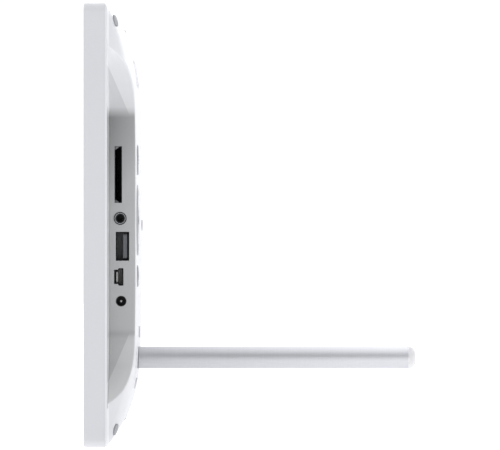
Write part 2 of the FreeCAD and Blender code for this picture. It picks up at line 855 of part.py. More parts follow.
def speaker_wires():
    """Wire from each loudspeaker's magnet to its socket on the main board."""
    left, right = speaker_sites()
    radius = 0.8
    start = speaker_magnet_radius + radius + 0.1
    entry_x = board_right() - 59.4
    entry_z = middle - 44 - 0.1
    bend_z = right[1] + 14
    first = [(left[0], 1.4, left[1] + start), (left[0] + 3, 1.4, bend_z + 1),
             (left[0] / 2, 1.5, bend_z + 3), (2, 1.6, bend_z + 0.5),
             (entry_x - 9.2, 2.2, entry_z - 11.4), (entry_x - 2.7, 3.9, entry_z - 7.9),
             (entry_x - 1, 4.9, entry_z)]
    second = [(right[0], 1.4, right[1] + start), (right[0] - 3, 1.4, bend_z),
              (entry_x + 16.8, 1.5, bend_z), (entry_x + 5.8, 2.6, entry_z - 11.4),
              (entry_x + 1, 4.2, entry_z - 6.4), (entry_x + 1, 4.9, entry_z)]
    return [tube(first, radius), tube(second, radius)]


# ---- keys ----------------------------------------------------------------------------------
def key_board():
    """Small board behind the keys."""
    z0, z1 = middle - key_board_half_height + 2, middle + key_board_half_height + 2
    board = block(button_x - key_board_width / 2 - 0.5, button_x + key_board_width / 2 - 0.8,
                  key_board_top - key_board_thickness, key_board_top, z0, z1)
    return board.cut([disc_y(small_shank_radius + 0.1, x, z, 0, 12)
                      for x, z in key_board_screw_sites()])


def key_board_screws():
    """Screws of the key board, put in from the front."""
    seat = key_board_top - key_board_thickness
    return [screw(x, z, seat, key_board_top + 2.4, small_head_diameter, small_head_height,
                  small_shank_radius, False) for x, z in key_board_screw_sites()]


def nav_switch_sites():
    """Centres of the four switches under the navigation ring."""
    z = middle + nav_key_height
    return [(button_x + nav_switch_radius * dx, z + nav_switch_radius * dz)
            for dx, dz in ((1, 0), (0, 1), (-1, 0), (0, -1))]


def switch_sites():
    """Centres of all switches."""
    return [(x, z) for x, z, _ in key_sites()] + nav_switch_sites()


def tact_switches():
    """Switch bodies, each with a well for its plunger."""
    bodies = []
    half = switch_size / 2
    for x, z in switch_sites():
        body = block(x - half, x + half, key_board_top, key_board_top + switch_body,
                     z - half, z + half)
        bodies.append(body.cut(disc_y(plunger_radius + 0.3, x, z, key_board_top + 0.05,
                                      key_board_top + 2)))
    return bodies


def plunger(x, z):
    """Plunger of one switch."""
    low = key_board_top + 0.8
    return disc_y(plunger_radius, x, z, low, low + 1.0)


def push_key(z, diameter):
    """Round push key with a domed edge, an inner flange and a stem to its plunger."""
    top = cover_depth + key_proud
    low = cover_inner_depth - 0.2 - key_flange
    cap = disc_y(diameter / 2, button_x, z, low, top)
    crown = [e for e in cap.Edges if abs(e.BoundBox.YMin - top) < 1e-6
             and abs(e.BoundBox.YMax - top) < 1e-6]
    cap = cap.makeFillet(0.6, crown)
    cap = cap.cut(disc_y(diameter / 2 - 1.2, button_x, z, low - 1, top - key_face))
    flange = ring_y(diameter / 2 + key_gap + 0.8, diameter / 2 - 1.0, button_x, z,
                    low, low + key_flange)
    stem = disc_y(plunger_radius, button_x, z, key_board_top + 1.85, top - key_face + 0.3)
    return cap.fuse([flange, stem])


def nav_ring():
    """Wide ring that tilts four ways round the centre key."""
    z = middle + nav_key_height
    radius = nav_key_diameter / 2
    top = cover_depth + key_proud
    low = cover_inner_depth - nav_flange_drop - 1.0
    body = disc_y(radius, button_x, z, low, top)
    crown = [e for e in body.Edges if abs(e.BoundBox.YMin - top) < 1e-6
             and abs(e.BoundBox.YMax - top) < 1e-6]
    body = body.makeFillet(0.7, crown)
    hollow = disc_y(radius - 1.5, button_x, z, low - 1, top - key_face)
    eye = disc_y(ok_key_diameter / 2 + key_gap, button_x, z, low - 1, top + 1)
    flange = ring_y(radius + key_gap + 0.7, radius - 1, button_x, z, low, low + 0.9)
    posts = [disc_y(1.3, x, zz, key_board_top + 1.85, top - key_face + 0.3)
             for x, zz in nav_switch_sites()]
    rests = [disc_y(0.55, button_x, z + side * 13.2, 11.3, top - key_face + 0.3)
             for side in (-1, 1)]
    return body.cut([hollow, eye]).fuse([flange] + posts + rests)


def nav_pivot():
    """Thin inner ring that carries the navigation ring across two pairs of supports."""
    z = middle + nav_key_height
    hoop = ring_y(13.8, 12.6, button_x, z, 10.0, 11.15)
    feet = [disc_y(0.55, button_x + side * 13.2, z, key_board_top + 0.1, 10.3)
            for side in (-1, 1)]
    return hoop.fuse(feet)


def ok_key():
    """Centre key inside the navigation ring."""
    z = middle + nav_key_height
    top = cover_depth + key_proud - 0.2
    cap = disc_y(ok_key_diameter / 2, button_x, z, 11.2, top)
    crown = [e for e in cap.Edges if abs(e.BoundBox.YMin - top) < 1e-6
             and abs(e.BoundBox.YMax - top) < 1e-6]
    cap = cap.makeFillet(0.6, crown)
    cap = cap.cut(disc_y(ok_key_diameter / 2 - 1.2, button_x, z, 11.0, top - key_face))
    stem = disc_y(plunger_radius, button_x, z, key_board_top + 1.85, top - key_face + 0.3)
    lip = ring_y(ok_key_diameter / 2 + 1.0, ok_key_diameter / 2 - 1.0, button_x, z, 11.2, 12.0)
    return cap.fuse([stem, lip])


# ---- stand ---------------------------------------------------------------------------------
def stand_brackets():
    """Steel plate behind each stand socket."""
    plates = []
    length = 2 * (stand_screw_offset + 5)
    for (x, z), (dx, dz) in stand_sites():
        size_x = length if dx else bracket_width
        size_z = length if dz else bracket_width
        plate = rounded_plate(size_x, size_z, 2, 5.0, bracket_back(), x, z)
        holes = [disc_y(nut_diameter / 2 + 0.02, x, z, 4, 8)]
        holes += [disc_y(shank_radius + 0.05, sx, sz, 4, 8) for sx, sz in stand_screw_sites()]
        plates.append(plate.cut(holes))
    return plates


def nut_top():
    """Rear end of the stand nuts, just under the cover's skin."""
    return 3.0 + nut_length


def stand_nuts():
    """Threaded inserts pressed into the brackets, with a collar under the plate."""
    nuts = []
    for (x, z), _ in stand_sites():
        body = disc_y(nut_diameter / 2, x, z, 3.0, nut_top())
        collar = disc_y(nut_diameter / 2 + 1.5, x, z, 3.0, 5.0)
        bore = disc_y(stud_diameter / 2 + stud_clearance, x, z, 2.0, nut_top() + 1)
        nuts.append(body.fuse(collar).cut(bore))
    return nuts


def stand_rod():
    """Long round rod, bored at both ends for its stud and its tip."""
    radius = rod_diameter / 2
    rod = disc_y(radius, 0, stand_inset, rod_start, rod_end)
    foot = [e for e in rod.Edges if abs(e.BoundBox.YMin - rod_start) < 1e-6
            and abs(e.BoundBox.YMax - rod_start) < 1e-6]
    rod = rod.makeFillet(0.4, foot)
    bores = [disc_y(stud_diameter / 2 + 0.02, 0, stand_inset, rod_start - 1, rod_start + stud_in_rod),
             disc_y(tip_spigot_diameter / 2 + 0.02, 0, stand_inset, rod_end - tip_spigot_length,
                    rod_end + 1)]
    return rod.cut(bores)


def stand_stud():
    """Threaded stud fixed in the rod's end."""
    start = washer_seat - stud_reach
    stud = disc_y(stud_diameter / 2, 0, stand_inset, start, rod_start + stud_in_rod - 0.1)
    lead = [e for e in stud.Edges if abs(e.BoundBox.YMin - start) < 1e-6
            and abs(e.BoundBox.YMax - start) < 1e-6]
    return stud.makeChamfer(0.6, lead)


def stand_washer():
    """Thin washer between rod and cover."""
    return ring_y(rod_diameter / 2, stud_diameter / 2 + stud_clearance, 0, stand_inset,
                  washer_seat, rod_start)


def stand_tip():
    """Soft cap with a flattened dome, pressed into the rod's end by its spigot."""
    top = rod_end + tip_length
    dome = disc_y(rod_diameter / 2, 0, stand_inset, rod_end, top)
    rim = [e for e in dome.Edges if abs(e.BoundBox.YMin - top) < 1e-6
           and abs(e.BoundBox.YMax - top) < 1e-6]
    spigot = disc_y(tip_spigot_diameter / 2, 0, stand_inset, rod_end - tip_spigot_length + 0.2,
                    rod_end + 0.1)
    return dome.makeFillet(tip_rounding, rim).fuse(spigot)


# ---- lean back and write -------------------------------------------------------------------
def lean_slope():
    """Slope of the line from the bezel's rear bottom edge that just touches the tip's rounding."""
    reach = rod_end + tip_length - tip_rounding
    height = stand_inset - rod_diameter / 2 + tip_rounding
    along = reach ** 2 - tip_rounding ** 2
    up = height ** 2 - tip_rounding ** 2
    cross = reach * height
    return (cross - math.sqrt(cross ** 2 - along * up)) / along


def placed(shape, lean, shift):
    """Lean a piece back and move it onto the origin."""
    moved = shape.copy()
    moved.rotate(Vec(0, 0, 0), Vec(1, 0, 0), -lean)
    moved.translate(Vec(0, shift, 0))
    return moved


def navigation_plungers():
    """Plungers under the navigation ring."""
    return [plunger(x, z) for x, z in nav_switch_sites()]


def build():
    """All pieces by name, in the upright working frame."""
    key_z = middle + menu_key_height
    power_z = middle + power_key_height
    nav_z = middle + nav_key_height
    return {
        "front_bezel": [front_bezel()],
        "window_gasket": [window_gasket()],
        "front_window": [front_window()],
        "lcd_front_frame": [lcd_front_frame()],
        "lcd_panel": [lcd_panel()],
        "light_guide": [light_guide()],
        "led_strip": led_strip(),
        "lcd_rear_tray": [lcd_rear_tray()],
        "lcd_brackets": lcd_brackets(),
        "bracket_screws": bracket_screws(),
        "rear_cover": [rear_cover()],
        "cover_screws": cover_screws(),
        "screw_plugs": screw_plugs(),
        "main_board": [main_board()],
        "board_screws": board_screws(),
        "processor_chip": [on_board(-34, -14, -26, -6, 1.5)],
        "memory_chips": memory_chips(),
        "board_capacitors": board_capacitors(),
        "board_inductors": board_inductors(),
        "ribbon_sockets": ribbon_sockets(),
        "sd_card_socket": [sd_card_socket()],
        "headphone_jack_body": [headphone_jack_body()],
        "headphone_jack_ring": [headphone_jack_ring()],
        "usb_a_shell": [usb_a_shell()],
        "usb_a_tongue": [usb_a_tongue()],
        "mini_usb_shell": [mini_usb_shell()],
        "mini_usb_tongue": [mini_usb_tongue()],
        "dc_jack_body": [dc_jack_body()],
        "dc_jack_pin": [dc_jack_pin()],
        "coin_cell_holder": [coin_cell_holder()],
        "coin_cell": [coin_cell()],
        "lcd_ribbon_cable": [lcd_ribbon_cable()],
        "key_ribbon_cable": [key_ribbon_cable()],
        "speaker_baskets": speaker_baskets(),
        "speaker_cones": speaker_cones(),
        "speaker_magnets": speaker_magnets(),
        "speaker_screws": speaker_screws(),
        "speaker_wires": speaker_wires(),
        "key_board": [key_board()],
        "key_board_screws": key_board_screws(),
        "tact_switches": tact_switches(),
        "menu_key": [push_key(key_z, menu_key_diameter)],
        "menu_plunger": [plunger(button_x, key_z)],
        "power_key": [push_key(power_z, power_key_diameter)],
        "power_plunger": [plunger(button_x, power_z)],
        "ok_key": [ok_key()],
        "ok_plunger": [plunger(button_x, nav_z)],
        "nav_pivot": [nav_pivot()],
        "nav_ring": [nav_ring()],
        "nav_plungers": navigation_plungers(),
        "stand_brackets": stand_brackets(),
        "stand_bracket_screws": stand_bracket_screws(),
        "stand_nuts": stand_nuts(),
        "stand_rod": [stand_rod()],
        "stand_stud": [stand_stud()],
        "stand_washer": [stand_washer()],
        "stand_tip": [stand_tip()],
    }


def write():
    """Lean every piece back and write one STEP file for each name."""
    pieces = build()
    lean = math.degrees(math.atan(lean_slope()))
    tilted = {name: placed(Part.makeCompound(solids), lean, 0) for name, solids in pieces.items()}
    low = min(shape.BoundBox.YMin for shape in tilted.values())
    high = max(shape.BoundBox.YMax for shape in tilted.values())
    os.makedirs("parts", exist_ok=True)
    for name, solids in pieces.items():
        shape = placed(Part.makeCompound(solids), lean, -(low + high) / 2)
        shape.exportStep("parts/" + name + ".step")
        print(name, len(shape.Solids), round(shape.Volume, 1), shape.isValid())
    print("lean", lean, "shift", -(low + high) / 2)


write()
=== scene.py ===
"""Digital photo frame: finishes, small fitted parts and studio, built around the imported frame.

Lengths are in metres. Pieces are modelled upright, as the frame stands before it leans back on its
rod: X runs across the display with the ports on the +X side, Y runs from the display to the back
with 0 at the seam between bezel and rear cover, and Z runs up from the bottom edge.
"""

import json
import math

import bmesh
import bpy
from bpy.props import FloatProperty, FloatVectorProperty, PointerProperty
from mathutils import Matrix, Vector


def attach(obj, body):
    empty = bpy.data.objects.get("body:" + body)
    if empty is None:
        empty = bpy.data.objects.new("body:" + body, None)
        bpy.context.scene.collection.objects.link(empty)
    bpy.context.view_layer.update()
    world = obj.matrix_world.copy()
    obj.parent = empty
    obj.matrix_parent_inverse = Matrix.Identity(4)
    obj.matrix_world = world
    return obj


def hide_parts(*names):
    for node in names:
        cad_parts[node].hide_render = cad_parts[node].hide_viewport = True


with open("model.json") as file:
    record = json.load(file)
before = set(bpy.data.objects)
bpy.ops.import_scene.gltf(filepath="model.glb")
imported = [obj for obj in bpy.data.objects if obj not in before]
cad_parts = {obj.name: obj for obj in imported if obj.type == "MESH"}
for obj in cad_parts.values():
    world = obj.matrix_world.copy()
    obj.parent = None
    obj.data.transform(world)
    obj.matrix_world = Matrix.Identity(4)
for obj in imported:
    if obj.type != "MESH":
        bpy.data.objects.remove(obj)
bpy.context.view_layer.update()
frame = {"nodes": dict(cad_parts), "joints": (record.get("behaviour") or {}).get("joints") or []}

bl_info = {
    "name": "Digital photo frame",
    "version": (1, 0, 0),
    "blender": (4, 5, 0),
    "location": "View3D > Sidebar > Photo frame",
    "description": "Builds the finishes, small parts and studio of a leaning digital photo frame",
    "category": "Object",
}

MM = 0.001


# ---- the upright working frame ---------------------------------------------------------------
def find_lean():
    """Angle that the frame leans back by, from the axis of the stand rod."""
    axis = next(joint["axis"] for joint in frame["joints"] if joint["name"] == "stand_unscrew")
    return math.atan2(-axis[2], axis[1])


LEAN = find_lean()
TURN = Matrix.Rotation(-LEAN, 4, "X")


def find_offset():
    """Where the upright origin lies after the lean is undone."""
    back = TURN.inverted()
    points = [back @ vertex.co for vertex in frame["nodes"]["front_bezel"].data.vertices]
    return Vector((0, max(p.y for p in points), min(p.z for p in points)))


OFFSET = find_offset()
TO_ROW = TURN @ Matrix.Translation(OFFSET)
TO_UPRIGHT = TO_ROW.inverted()


def upright_box(name):
    """Lowest corner, highest corner and middle of a node in the upright frame."""
    points = [TO_UPRIGHT @ vertex.co for vertex in frame["nodes"][name].data.vertices]
    lowest = Vector([min(p[i] for p in points) for i in range(3)])
    highest = Vector([max(p[i] for p in points) for i in range(3)])
    return lowest, highest, (lowest + highest) / 2


# ---- sizes and colours that a user would change ------------------------------------------------
def colour_of(code):
    """Linear colour of an sRGB hex code, such as #E6E7EB."""
    parts = [int(code[i:i + 2], 16) / 255 for i in (1, 3, 5)]
    return [p / 12.92 if p <= 0.04045 else ((p + 0.055) / 1.055) ** 2.4 for p in parts]


def colour_setting(name, description, code):
    """One colour on the panel."""
    return FloatVectorProperty(name=name, description=description, subtype="COLOR", size=3,
                               min=0, max=1, default=colour_of(code))


def size_setting(name, description, millimetres):
    """One length on the panel."""
    return FloatProperty(name=name, description=description, default=millimetres * MM,
                         unit="LENGTH", subtype="DISTANCE", precision=5)


class FinishSettings(bpy.types.PropertyGroup):
    """Colours of the finishes that show most."""

    casing: colour_setting("Casing", "Moulded ABS of the bezel and the rear cover", "#E7E8EC")
    # painted highlight: the seam band is paler than the casing, standing in for light on the
    # cover's edge
    seam: colour_setting("Seam band", "Polished band of the cover beside the seam", "#F8F9FC")
    # painted shade: the recess colour is a grey that stands in for the shade in the port recess
    recess: colour_setting("Recess", "Second shot of ABS on the wall with the ports", "#CFD0D1")
    # painted shade, lighter: the lip is a paler grey where the recess's shade is weaker near its
    # rim
    lip: colour_setting("Recess lip", "Second shot of ABS at the foot of the recess", "#E2E3E4")
    # painted light: the hood is paler than the casing, standing in for light from below on the head
    # of the recess
    hood: colour_setting("Recess hood", "Casing's own shot at the head of the recess", "#F2F3F5")
    keys: colour_setting("Keys", "Moulded ABS of the keys", "#B9BABE")
    plugs: colour_setting("Plugs", "Rubber plugs over the corner screws", "#A6A8AC")
    stand_plugs: colour_setting("Stand plugs", "Rubber plugs near the stand", "#DCDDE0")
    rod: colour_setting("Rod", "Anodised aluminium of the stand rod", "#DADBDF")
    tip: colour_setting("Tip", "Soft end of the stand rod", "#F5F5F7")
    display: colour_setting("Display", "Switched-off display", "#0B0D12")
    ink: colour_setting("Key ink", "Marks printed on the keys", "#6E7178")


class DetailSettings(bpy.types.PropertyGroup):
    """Sizes of the small fitted parts."""

    thread_pitch: size_setting("Thread pitch", "Rise of the stud's thread in one turn", 1.0)
    thread_depth: size_setting("Thread depth", "Depth of the stud's thread", 0.55)
    ink_depth: size_setting("Ink thickness", "Height of the printed marks", 0.06)
    contact_depth: size_setting("Contact thickness", "Thickness of the socket contacts", 0.15)


class StudioSettings(bpy.types.PropertyGroup):
    """Floor, light and camera."""

    floor: colour_setting("Floor", "Matt floor of the studio", "#AAAAAB")
    camera_distance: size_setting("Camera distance", "Camera to the port side of the frame", 3200.0)
    floor_size: size_setting("Floor size", "Width of the floor", 24000.0)
    lens: FloatProperty(name="Lens", description="Focal length of the camera in millimetres",
                        default=497.0, min=20, max=800)
    floor_glow: FloatProperty(name="Floor glow", description="Light given off by the lit floor",
                              default=0.75, min=0, max=5)


# ---- materials: common parts -----------------------------------------------------------------
NOISE_SPAN = (0.3, 0.7)  # values that a noise pattern really takes
WAVE_LENGTH = 0.31  # length of one band of a wave pattern at a scale of 1
WHITE = (1.0, 1.0, 1.0, 1.0)


def add_node(tree, kind, inputs=(), output=0, **settings):
    """Adds one node with its settings and inputs, and gives back one of its outputs.

    Inputs come in the node's order, or by name or number. A socket is linked to its input, and
    anything else becomes the input's value.
    """
    node = tree.nodes.new(kind)
    for name, value in settings.items():
        setattr(node, name, value)
    named = inputs if isinstance(inputs, dict) else dict(enumerate(inputs))
    for name, value in named.items():
        if isinstance(value, bpy.types.NodeSocket):
            tree.links.new(value, node.inputs[name])
        else:
            node.inputs[name].default_value = value
    return node.outputs[output] if len(node.outputs) else None


def opaque(colour, tone=1.0):
    """A linear colour at a tone, with the alpha that nodes ask for."""
    return [channel * tone for channel in list(colour)[:3]] + [1.0]


class Finish:
    """A new material with its shader and its upright Object coordinates."""

    def __init__(self, name, base, roughness, metallic=0.0, ior=None):
        self.material = bpy.data.materials.new(name)
        self.material.use_nodes = True
        self.tree = self.material.node_tree
        self.tree.nodes.clear()
        surface = self.add("ShaderNodeBsdfPrincipled")
        self.shader = surface.node
        self.add("ShaderNodeOutputMaterial", {"Surface": surface})
        self.base = opaque(colour_of(base) if isinstance(base, str) else base)
        self.set("Base Color", self.base)
        self.set("Roughness", roughness)
        self.set("Metallic", metallic)
        if ior:
            self.set("IOR", ior)
        self.material.diffuse_color = self.base
        coordinates = self.add("ShaderNodeTexCoord", output="Object")
        self.place = self.add("ShaderNodeMapping", {"Vector": coordinates, "Location": -OFFSET,
                                                    "Rotation": (LEAN, 0, 0)}, vector_type="POINT")

    def add(self, kind, inputs=(), output=0, **settings):
        """Adds a node to this material."""
        return add_node(self.tree, kind, inputs, output, **settings)

    def set(self, name, value):
        """Sets or links one input of the shader."""
        if isinstance(value, bpy.types.NodeSocket):
            self.tree.links.new(value, self.shader.inputs[name])
        else:
            self.shader.inputs[name].default_value = value

    def linked(self, name):
        """The socket that feeds one input of the shader, if any does."""
        links = self.shader.inputs[name].links
        return links[0].from_socket if links else None

    def grain(self, size_mm, detail, relief_mm=0.0, strength=0.5, stretch=None):
        """Uneven skin with blobs about size_mm across, drawn out along an axis by stretch."""
        at = self.place
        if stretch:
            at = self.add("ShaderNodeVectorMath", (at, stretch), operation="MULTIPLY")
        blobs = self.add("ShaderNodeTexNoise", {"Vector": at, "Scale": 1 / (size_mm * MM),
                                                "Detail": detail}, "Fac")
        if relief_mm:
            self.raise_by(blobs, relief_mm, strength)
        return blobs

    def raise_by(self, height, relief_mm, strength=1.0):
        """Relief whose white stands relief_mm above its black, on top of any relief before it."""
        inputs = {"Height": height, "Distance": relief_mm * MM, "Strength": strength}
        before = self.linked("Normal")
        if before:
            inputs["Normal"] = before
        self.set("Normal", self.add("ShaderNodeBump", inputs))

    def distance(self, value, place):
        """How far a coordinate lies from a place, on either side of it."""
        offset = self.add("ShaderNodeMath", (value, place), operation="SUBTRACT")
        return self.add("ShaderNodeMath", (offset,), operation="ABSOLUTE")

    def share(self, *steps):
        """Product of soft steps: a value, where its step starts and ends, and its two levels."""
        total = None
        for value, start, end, *levels in steps:
            level = self.add("ShaderNodeMapRange", (value, start, end, *(levels or (0.0, 1.0))))
            if total is not None:
                level = self.add("ShaderNodeMath", (total, level), operation="MULTIPLY")
            total = level
        return total

    def coats(self, colour, *over):
        """A colour with others laid over it in turn, each by its own share."""
        for share, upper in over:
            colour = self.add("ShaderNodeMix", {0: share, 6: colour, 7: upper}, 2,
                              data_type="RGBA")
        return colour

    def vary_roughness(self, pattern, smoothest, roughest, span=NOISE_SPAN):
        """Roughness that follows a pattern over the span of values that it takes."""
        self.set("Roughness", self.share((pattern, *span, smoothest, roughest)))

    def mottle(self, pattern, darkest, span=None):
        """Colour from darkest times the base up to the base, over the pattern or a span of it."""
        if span:
            pattern = self.share((pattern, *span))
        self.set("Base Color", self.coats(opaque(self.base, darkest), (pattern, self.base)))

# ---- materials: plastics and rubbers ---------------------------------------------------------
def moulded_abs(name, base, roughness=0.4):
    """Injection-moulded ABS with a spark-eroded texture: a soft satin sheen, faintly uneven."""
    finish = Finish(name, base, roughness, ior=1.53)
    swirl = finish.grain(38.0, 2.0, 0.05, 0.35)
    grain = finish.grain(0.55, 3.0, 0.012)  # the real grain is about 0.1 mm, too fine to show
    finish.vary_roughness(grain, roughness - 0.05, roughness + 0.07)
    finish.mottle(swirl, 0.985, NOISE_SPAN)
    return finish


RECESS_MIDDLE = 103.5 * MM  # height of the middle of the port recess
RECESS_REACH = 85.0 * MM  # how far the recess runs above and below its middle
RECESS_START, RECESS_FULL = 0.85 * MM, 0.95 * MM  # depths over which the grey painted shade begins
FLOOR_START, FLOOR_END = 1.35 * MM, 1.5 * MM  # depths over which the recess's floor ends
FACES_SIDEWAYS, FACES_BACK = 0.45, 0.8  # how much a face looks back, from none at 0 to all at 1
RING_STANDS = 0.4 * MM  # how far the headphone ring stands out of the port wall
SEAM_HIGHLIGHT_WIDTH = 1.9 * MM  # width of the painted highlight: a paler band of the cover beside the seam
HOOD_START, HOOD_FULL = 153.6 * MM, 158.6 * MM  # heights over which the grey painted shade ends
LIP_START = 51.0 * MM  # where the recess's end walls start, up and down from its middle
LIP_SLOPE, LIP_LINE = 0.423, 32.2 * MM  # slope and place of the line where the lip starts
FOOT_START, FOOT_HEIGHT, FOOT_WIDTH = 46 * MM, 51.9 * MM, 2.4 * MM  # painted shade along the crease at the wall's foot, with painted light below it
SHADE_TOP, SHADE_SLOPE = 157.0 * MM, 1.6  # where the painted shadow under the hood starts
SHADE_START, SHADE_END = 8.25 * MM, 50.6 * MM  # how far below that it starts and stops to fade
SHADE_TONES = (0.6, 0.97)
# painted shade deep in the hood, in the crease and on the recess's floor, and painted light below
# the crease
DEEP_HOOD_SHADE, CREASE_SHADE, FLOOR_SHADE, FOOT_LIGHT = 0.85, 0.86, 0.78, 1.07
SOFT, SOFT_LIP = 0.1 * MM, 0.15 * MM  # widths over which one tone turns to another
CORNER_PLUGS = (82 * MM, 84 * MM)  # how far from the recess's middle the corner plugs begin


def casing_abs(settings):
    """ABS casing: satin cool white, with a soft grey painted into the port recess for its shade,
    and painted light at the head of the recess and beside the seam.
    """
    finish = moulded_abs("moulded_abs_painted_shade_and_light", settings.casing)
    finish.set("Specular IOR Level", 0.42)
    x, y, z = finish.add("ShaderNodeSeparateXYZ", (finish.place,)).node.outputs
    away = finish.distance(z, RECESS_MIDDLE)

    # the recess, where shade and light are painted: walls that face sideways, from the port wall
    # out to the edge of the cover
    facing = finish.add("ShaderNodeTexCoord", output="Normal")
    back = tuple(TURN @ Vector((0, 1, 0)))
    lean = finish.add("ShaderNodeVectorMath", (facing, back), "Value", operation="DOT_PRODUCT")
    tilt = finish.add("ShaderNodeMath", (lean,), operation="ABSOLUTE")
    flat = finish.share((y, FLOOR_END, FLOOR_START))
    upright = finish.share((tilt, FACES_BACK, FACES_SIDEWAYS))
    sides = finish.add("ShaderNodeMath", (flat, upright), operation="MAXIMUM")
    wall = upright_box("headphone_jack_ring")[1].x - RING_STANDS
    reached = finish.share((x, wall, wall + SOFT), (y, RECESS_START, RECESS_FULL),
                           (away, RECESS_REACH + 1 * MM, RECESS_REACH))
    recess = finish.add("ShaderNodeMath", (sides, reached), operation="MULTIPLY")

    # its painted shade and light: grey on the port wall, paler at its foot, a painted shadow under
    # its head, darker in the crease and on its floor; at its head, paler than the casing by the rim
    # and painted darker deeper in
    line = finish.add("ShaderNodeMath", (away, LIP_SLOPE, y), operation="MULTIPLY_ADD")
    lip = finish.share((line, LIP_LINE - SOFT_LIP, LIP_LINE + SOFT_LIP),
                       (away, LIP_START, LIP_START + 2 * MM))
    # painted shadow under the hood, deepest at the top of the port wall on its side nearest the
    # seam
    drop = finish.add("ShaderNodeMath", (SHADE_TOP, z), operation="SUBTRACT")
    depth = finish.add("ShaderNodeMath", (y, SHADE_SLOPE, drop), operation="MULTIPLY_ADD")
    tone = finish.share((depth, SHADE_START, SHADE_END, *SHADE_TONES),
                        (finish.distance(z, FOOT_HEIGHT), 0.0, FOOT_WIDTH, CREASE_SHADE, 1.0),
                        (y, FLOOR_START, FLOOR_END, FLOOR_SHADE, 1.0),
                        (z, FOOT_START, FOOT_HEIGHT, FOOT_LIGHT, 1.0))
    low = finish.coats(opaque(settings.recess), (lip, opaque(settings.lip)))
    # painted light by the rim of the hood, and painted shade deeper in
    hood = finish.coats(opaque(settings.hood, DEEP_HOOD_SHADE), (lip, opaque(settings.hood)))
    head = finish.share((z, HOOD_START, HOOD_FULL))
    shaded = finish.add("ShaderNodeVectorMath", {0: low, "Scale": tone}, operation="SCALE")
    inside = finish.coats(shaded, (head, hood))

    # painted highlight: the paler band beside the seam
    band = finish.share((y, 0.0, SOFT), (y, SEAM_HIGHLIGHT_WIDTH, SEAM_HIGHLIGHT_WIDTH - 2 * SOFT))
    finish.set("Base Color", finish.coats(finish.linked("Base Color"),
                                          (band, opaque(settings.seam)), (recess, inside)))
    return finish.material


def key_abs(settings):
    """ABS keys from a polished mould: the same plastic, glossier and a shade greyer."""
    return moulded_abs("moulded_abs_key_grey", settings.keys, 0.3).material


def plug_rubber(settings):
    """Moulded silicone rubber plugs: matt, dusty and soft grey, with a dull grazing sheen."""
    finish = Finish("moulded_silicone_plug", settings.plugs, 0.68, ior=1.41)
    finish.set("Sheen Weight", 0.15)
    finish.grain(0.4, 3.0, 0.02, 0.6)
    finish.mottle(finish.grain(2.4, 2.0), 0.88)
    # the plugs by the stand and the portrait socket are moulded nearly in the casing's colour
    z = finish.add("ShaderNodeSeparateXYZ", (finish.place,), "Z")
    corner = finish.share((finish.distance(z, RECESS_MIDDLE), *CORNER_PLUGS))
    finish.set("Base Color", finish.coats(opaque(settings.stand_plugs),
                                          (corner, finish.linked("Base Color"))))
    return finish.material


def tip_elastomer(settings):
    """Translucent thermoplastic elastomer of the rod's end: milky, with light soaking in."""
    finish = Finish("milky_elastomer", settings.tip, 0.5, ior=1.47)
    finish.set("Subsurface Weight", 0.35)
    finish.set("Subsurface Radius", (0.0016, 0.0015, 0.0014))
    finish.grain(0.5, 3.0, 0.015)
    finish.mottle(finish.grain(3.0, 2.0), 0.95)
    return finish.material


def cut_rubber():
    """Cut silicone rubber washer: pale grey and matt, with fine scuffs along the cut."""
    finish = Finish("cut_silicone_washer", "#BFC1C5", 0.62, ior=1.41)
    finish.grain(0.3, 4.0, 0.02, 0.6, stretch=(1, 6, 1))
    finish.mottle(finish.grain(1.2, 2.0), 0.8)
    return finish.material


def nylon(name, code, roughness):
    """Glass-filled nylon of sockets and switches: waxy sheen broken by short fibre streaks."""
    finish = Finish(name, code, roughness, ior=1.53)
    fibres = finish.grain(0.25, 4.0, 0.012, 0.6, stretch=(1, 0.25, 1))
    finish.mottle(fibres, 0.86)
    return finish.material


def acetal(name, code):
    """Acetal plungers and pivot: dense, slippery plastic with a clean low sheen."""
    finish = Finish(name, code, 0.34, ior=1.48)
    finish.grain(0.6, 2.0, 0.01, 0.4)
    finish.mottle(finish.grain(4.0, 2.0), 0.94)
    return finish.material


def foam_strip():
    """Closed-cell foam gasket: charcoal, dry and open-skinned with small cells."""
    finish = Finish("closed_cell_foam", "#2A2B2E", 0.95)
    cells = finish.add("ShaderNodeTexVoronoi", {"Vector": finish.place, "Scale": 1 / (0.5 * MM)},
                       "Distance")
    finish.raise_by(cells, 0.12)
    finish.mottle(cells, 0.5, (0.0, 0.5))
    return finish.material


def wire_sleeve():
    """PVC wire sleeves in red: smooth and waxy, with faint draw lines along the wire."""
    finish = Finish("pvc_wire_sleeve", "#B3272D", 0.38, ior=1.53)
    finish.grain(0.2, 2.0, 0.008, stretch=(0.1, 1, 1))
    finish.mottle(finish.grain(5.0, 2.0), 0.85)
    return finish.material


# ---- materials: metals -----------------------------------------------------------------------
ROD_START, ROD_END = 20.0 * MM, 138.0 * MM  # depths between which the rod's painted shade changes
ROD_PAINTED_SHADE = (0.86, 1.14)  # painted shade and light: darker by the cover, where the frame shades the rod, and paler by the tip


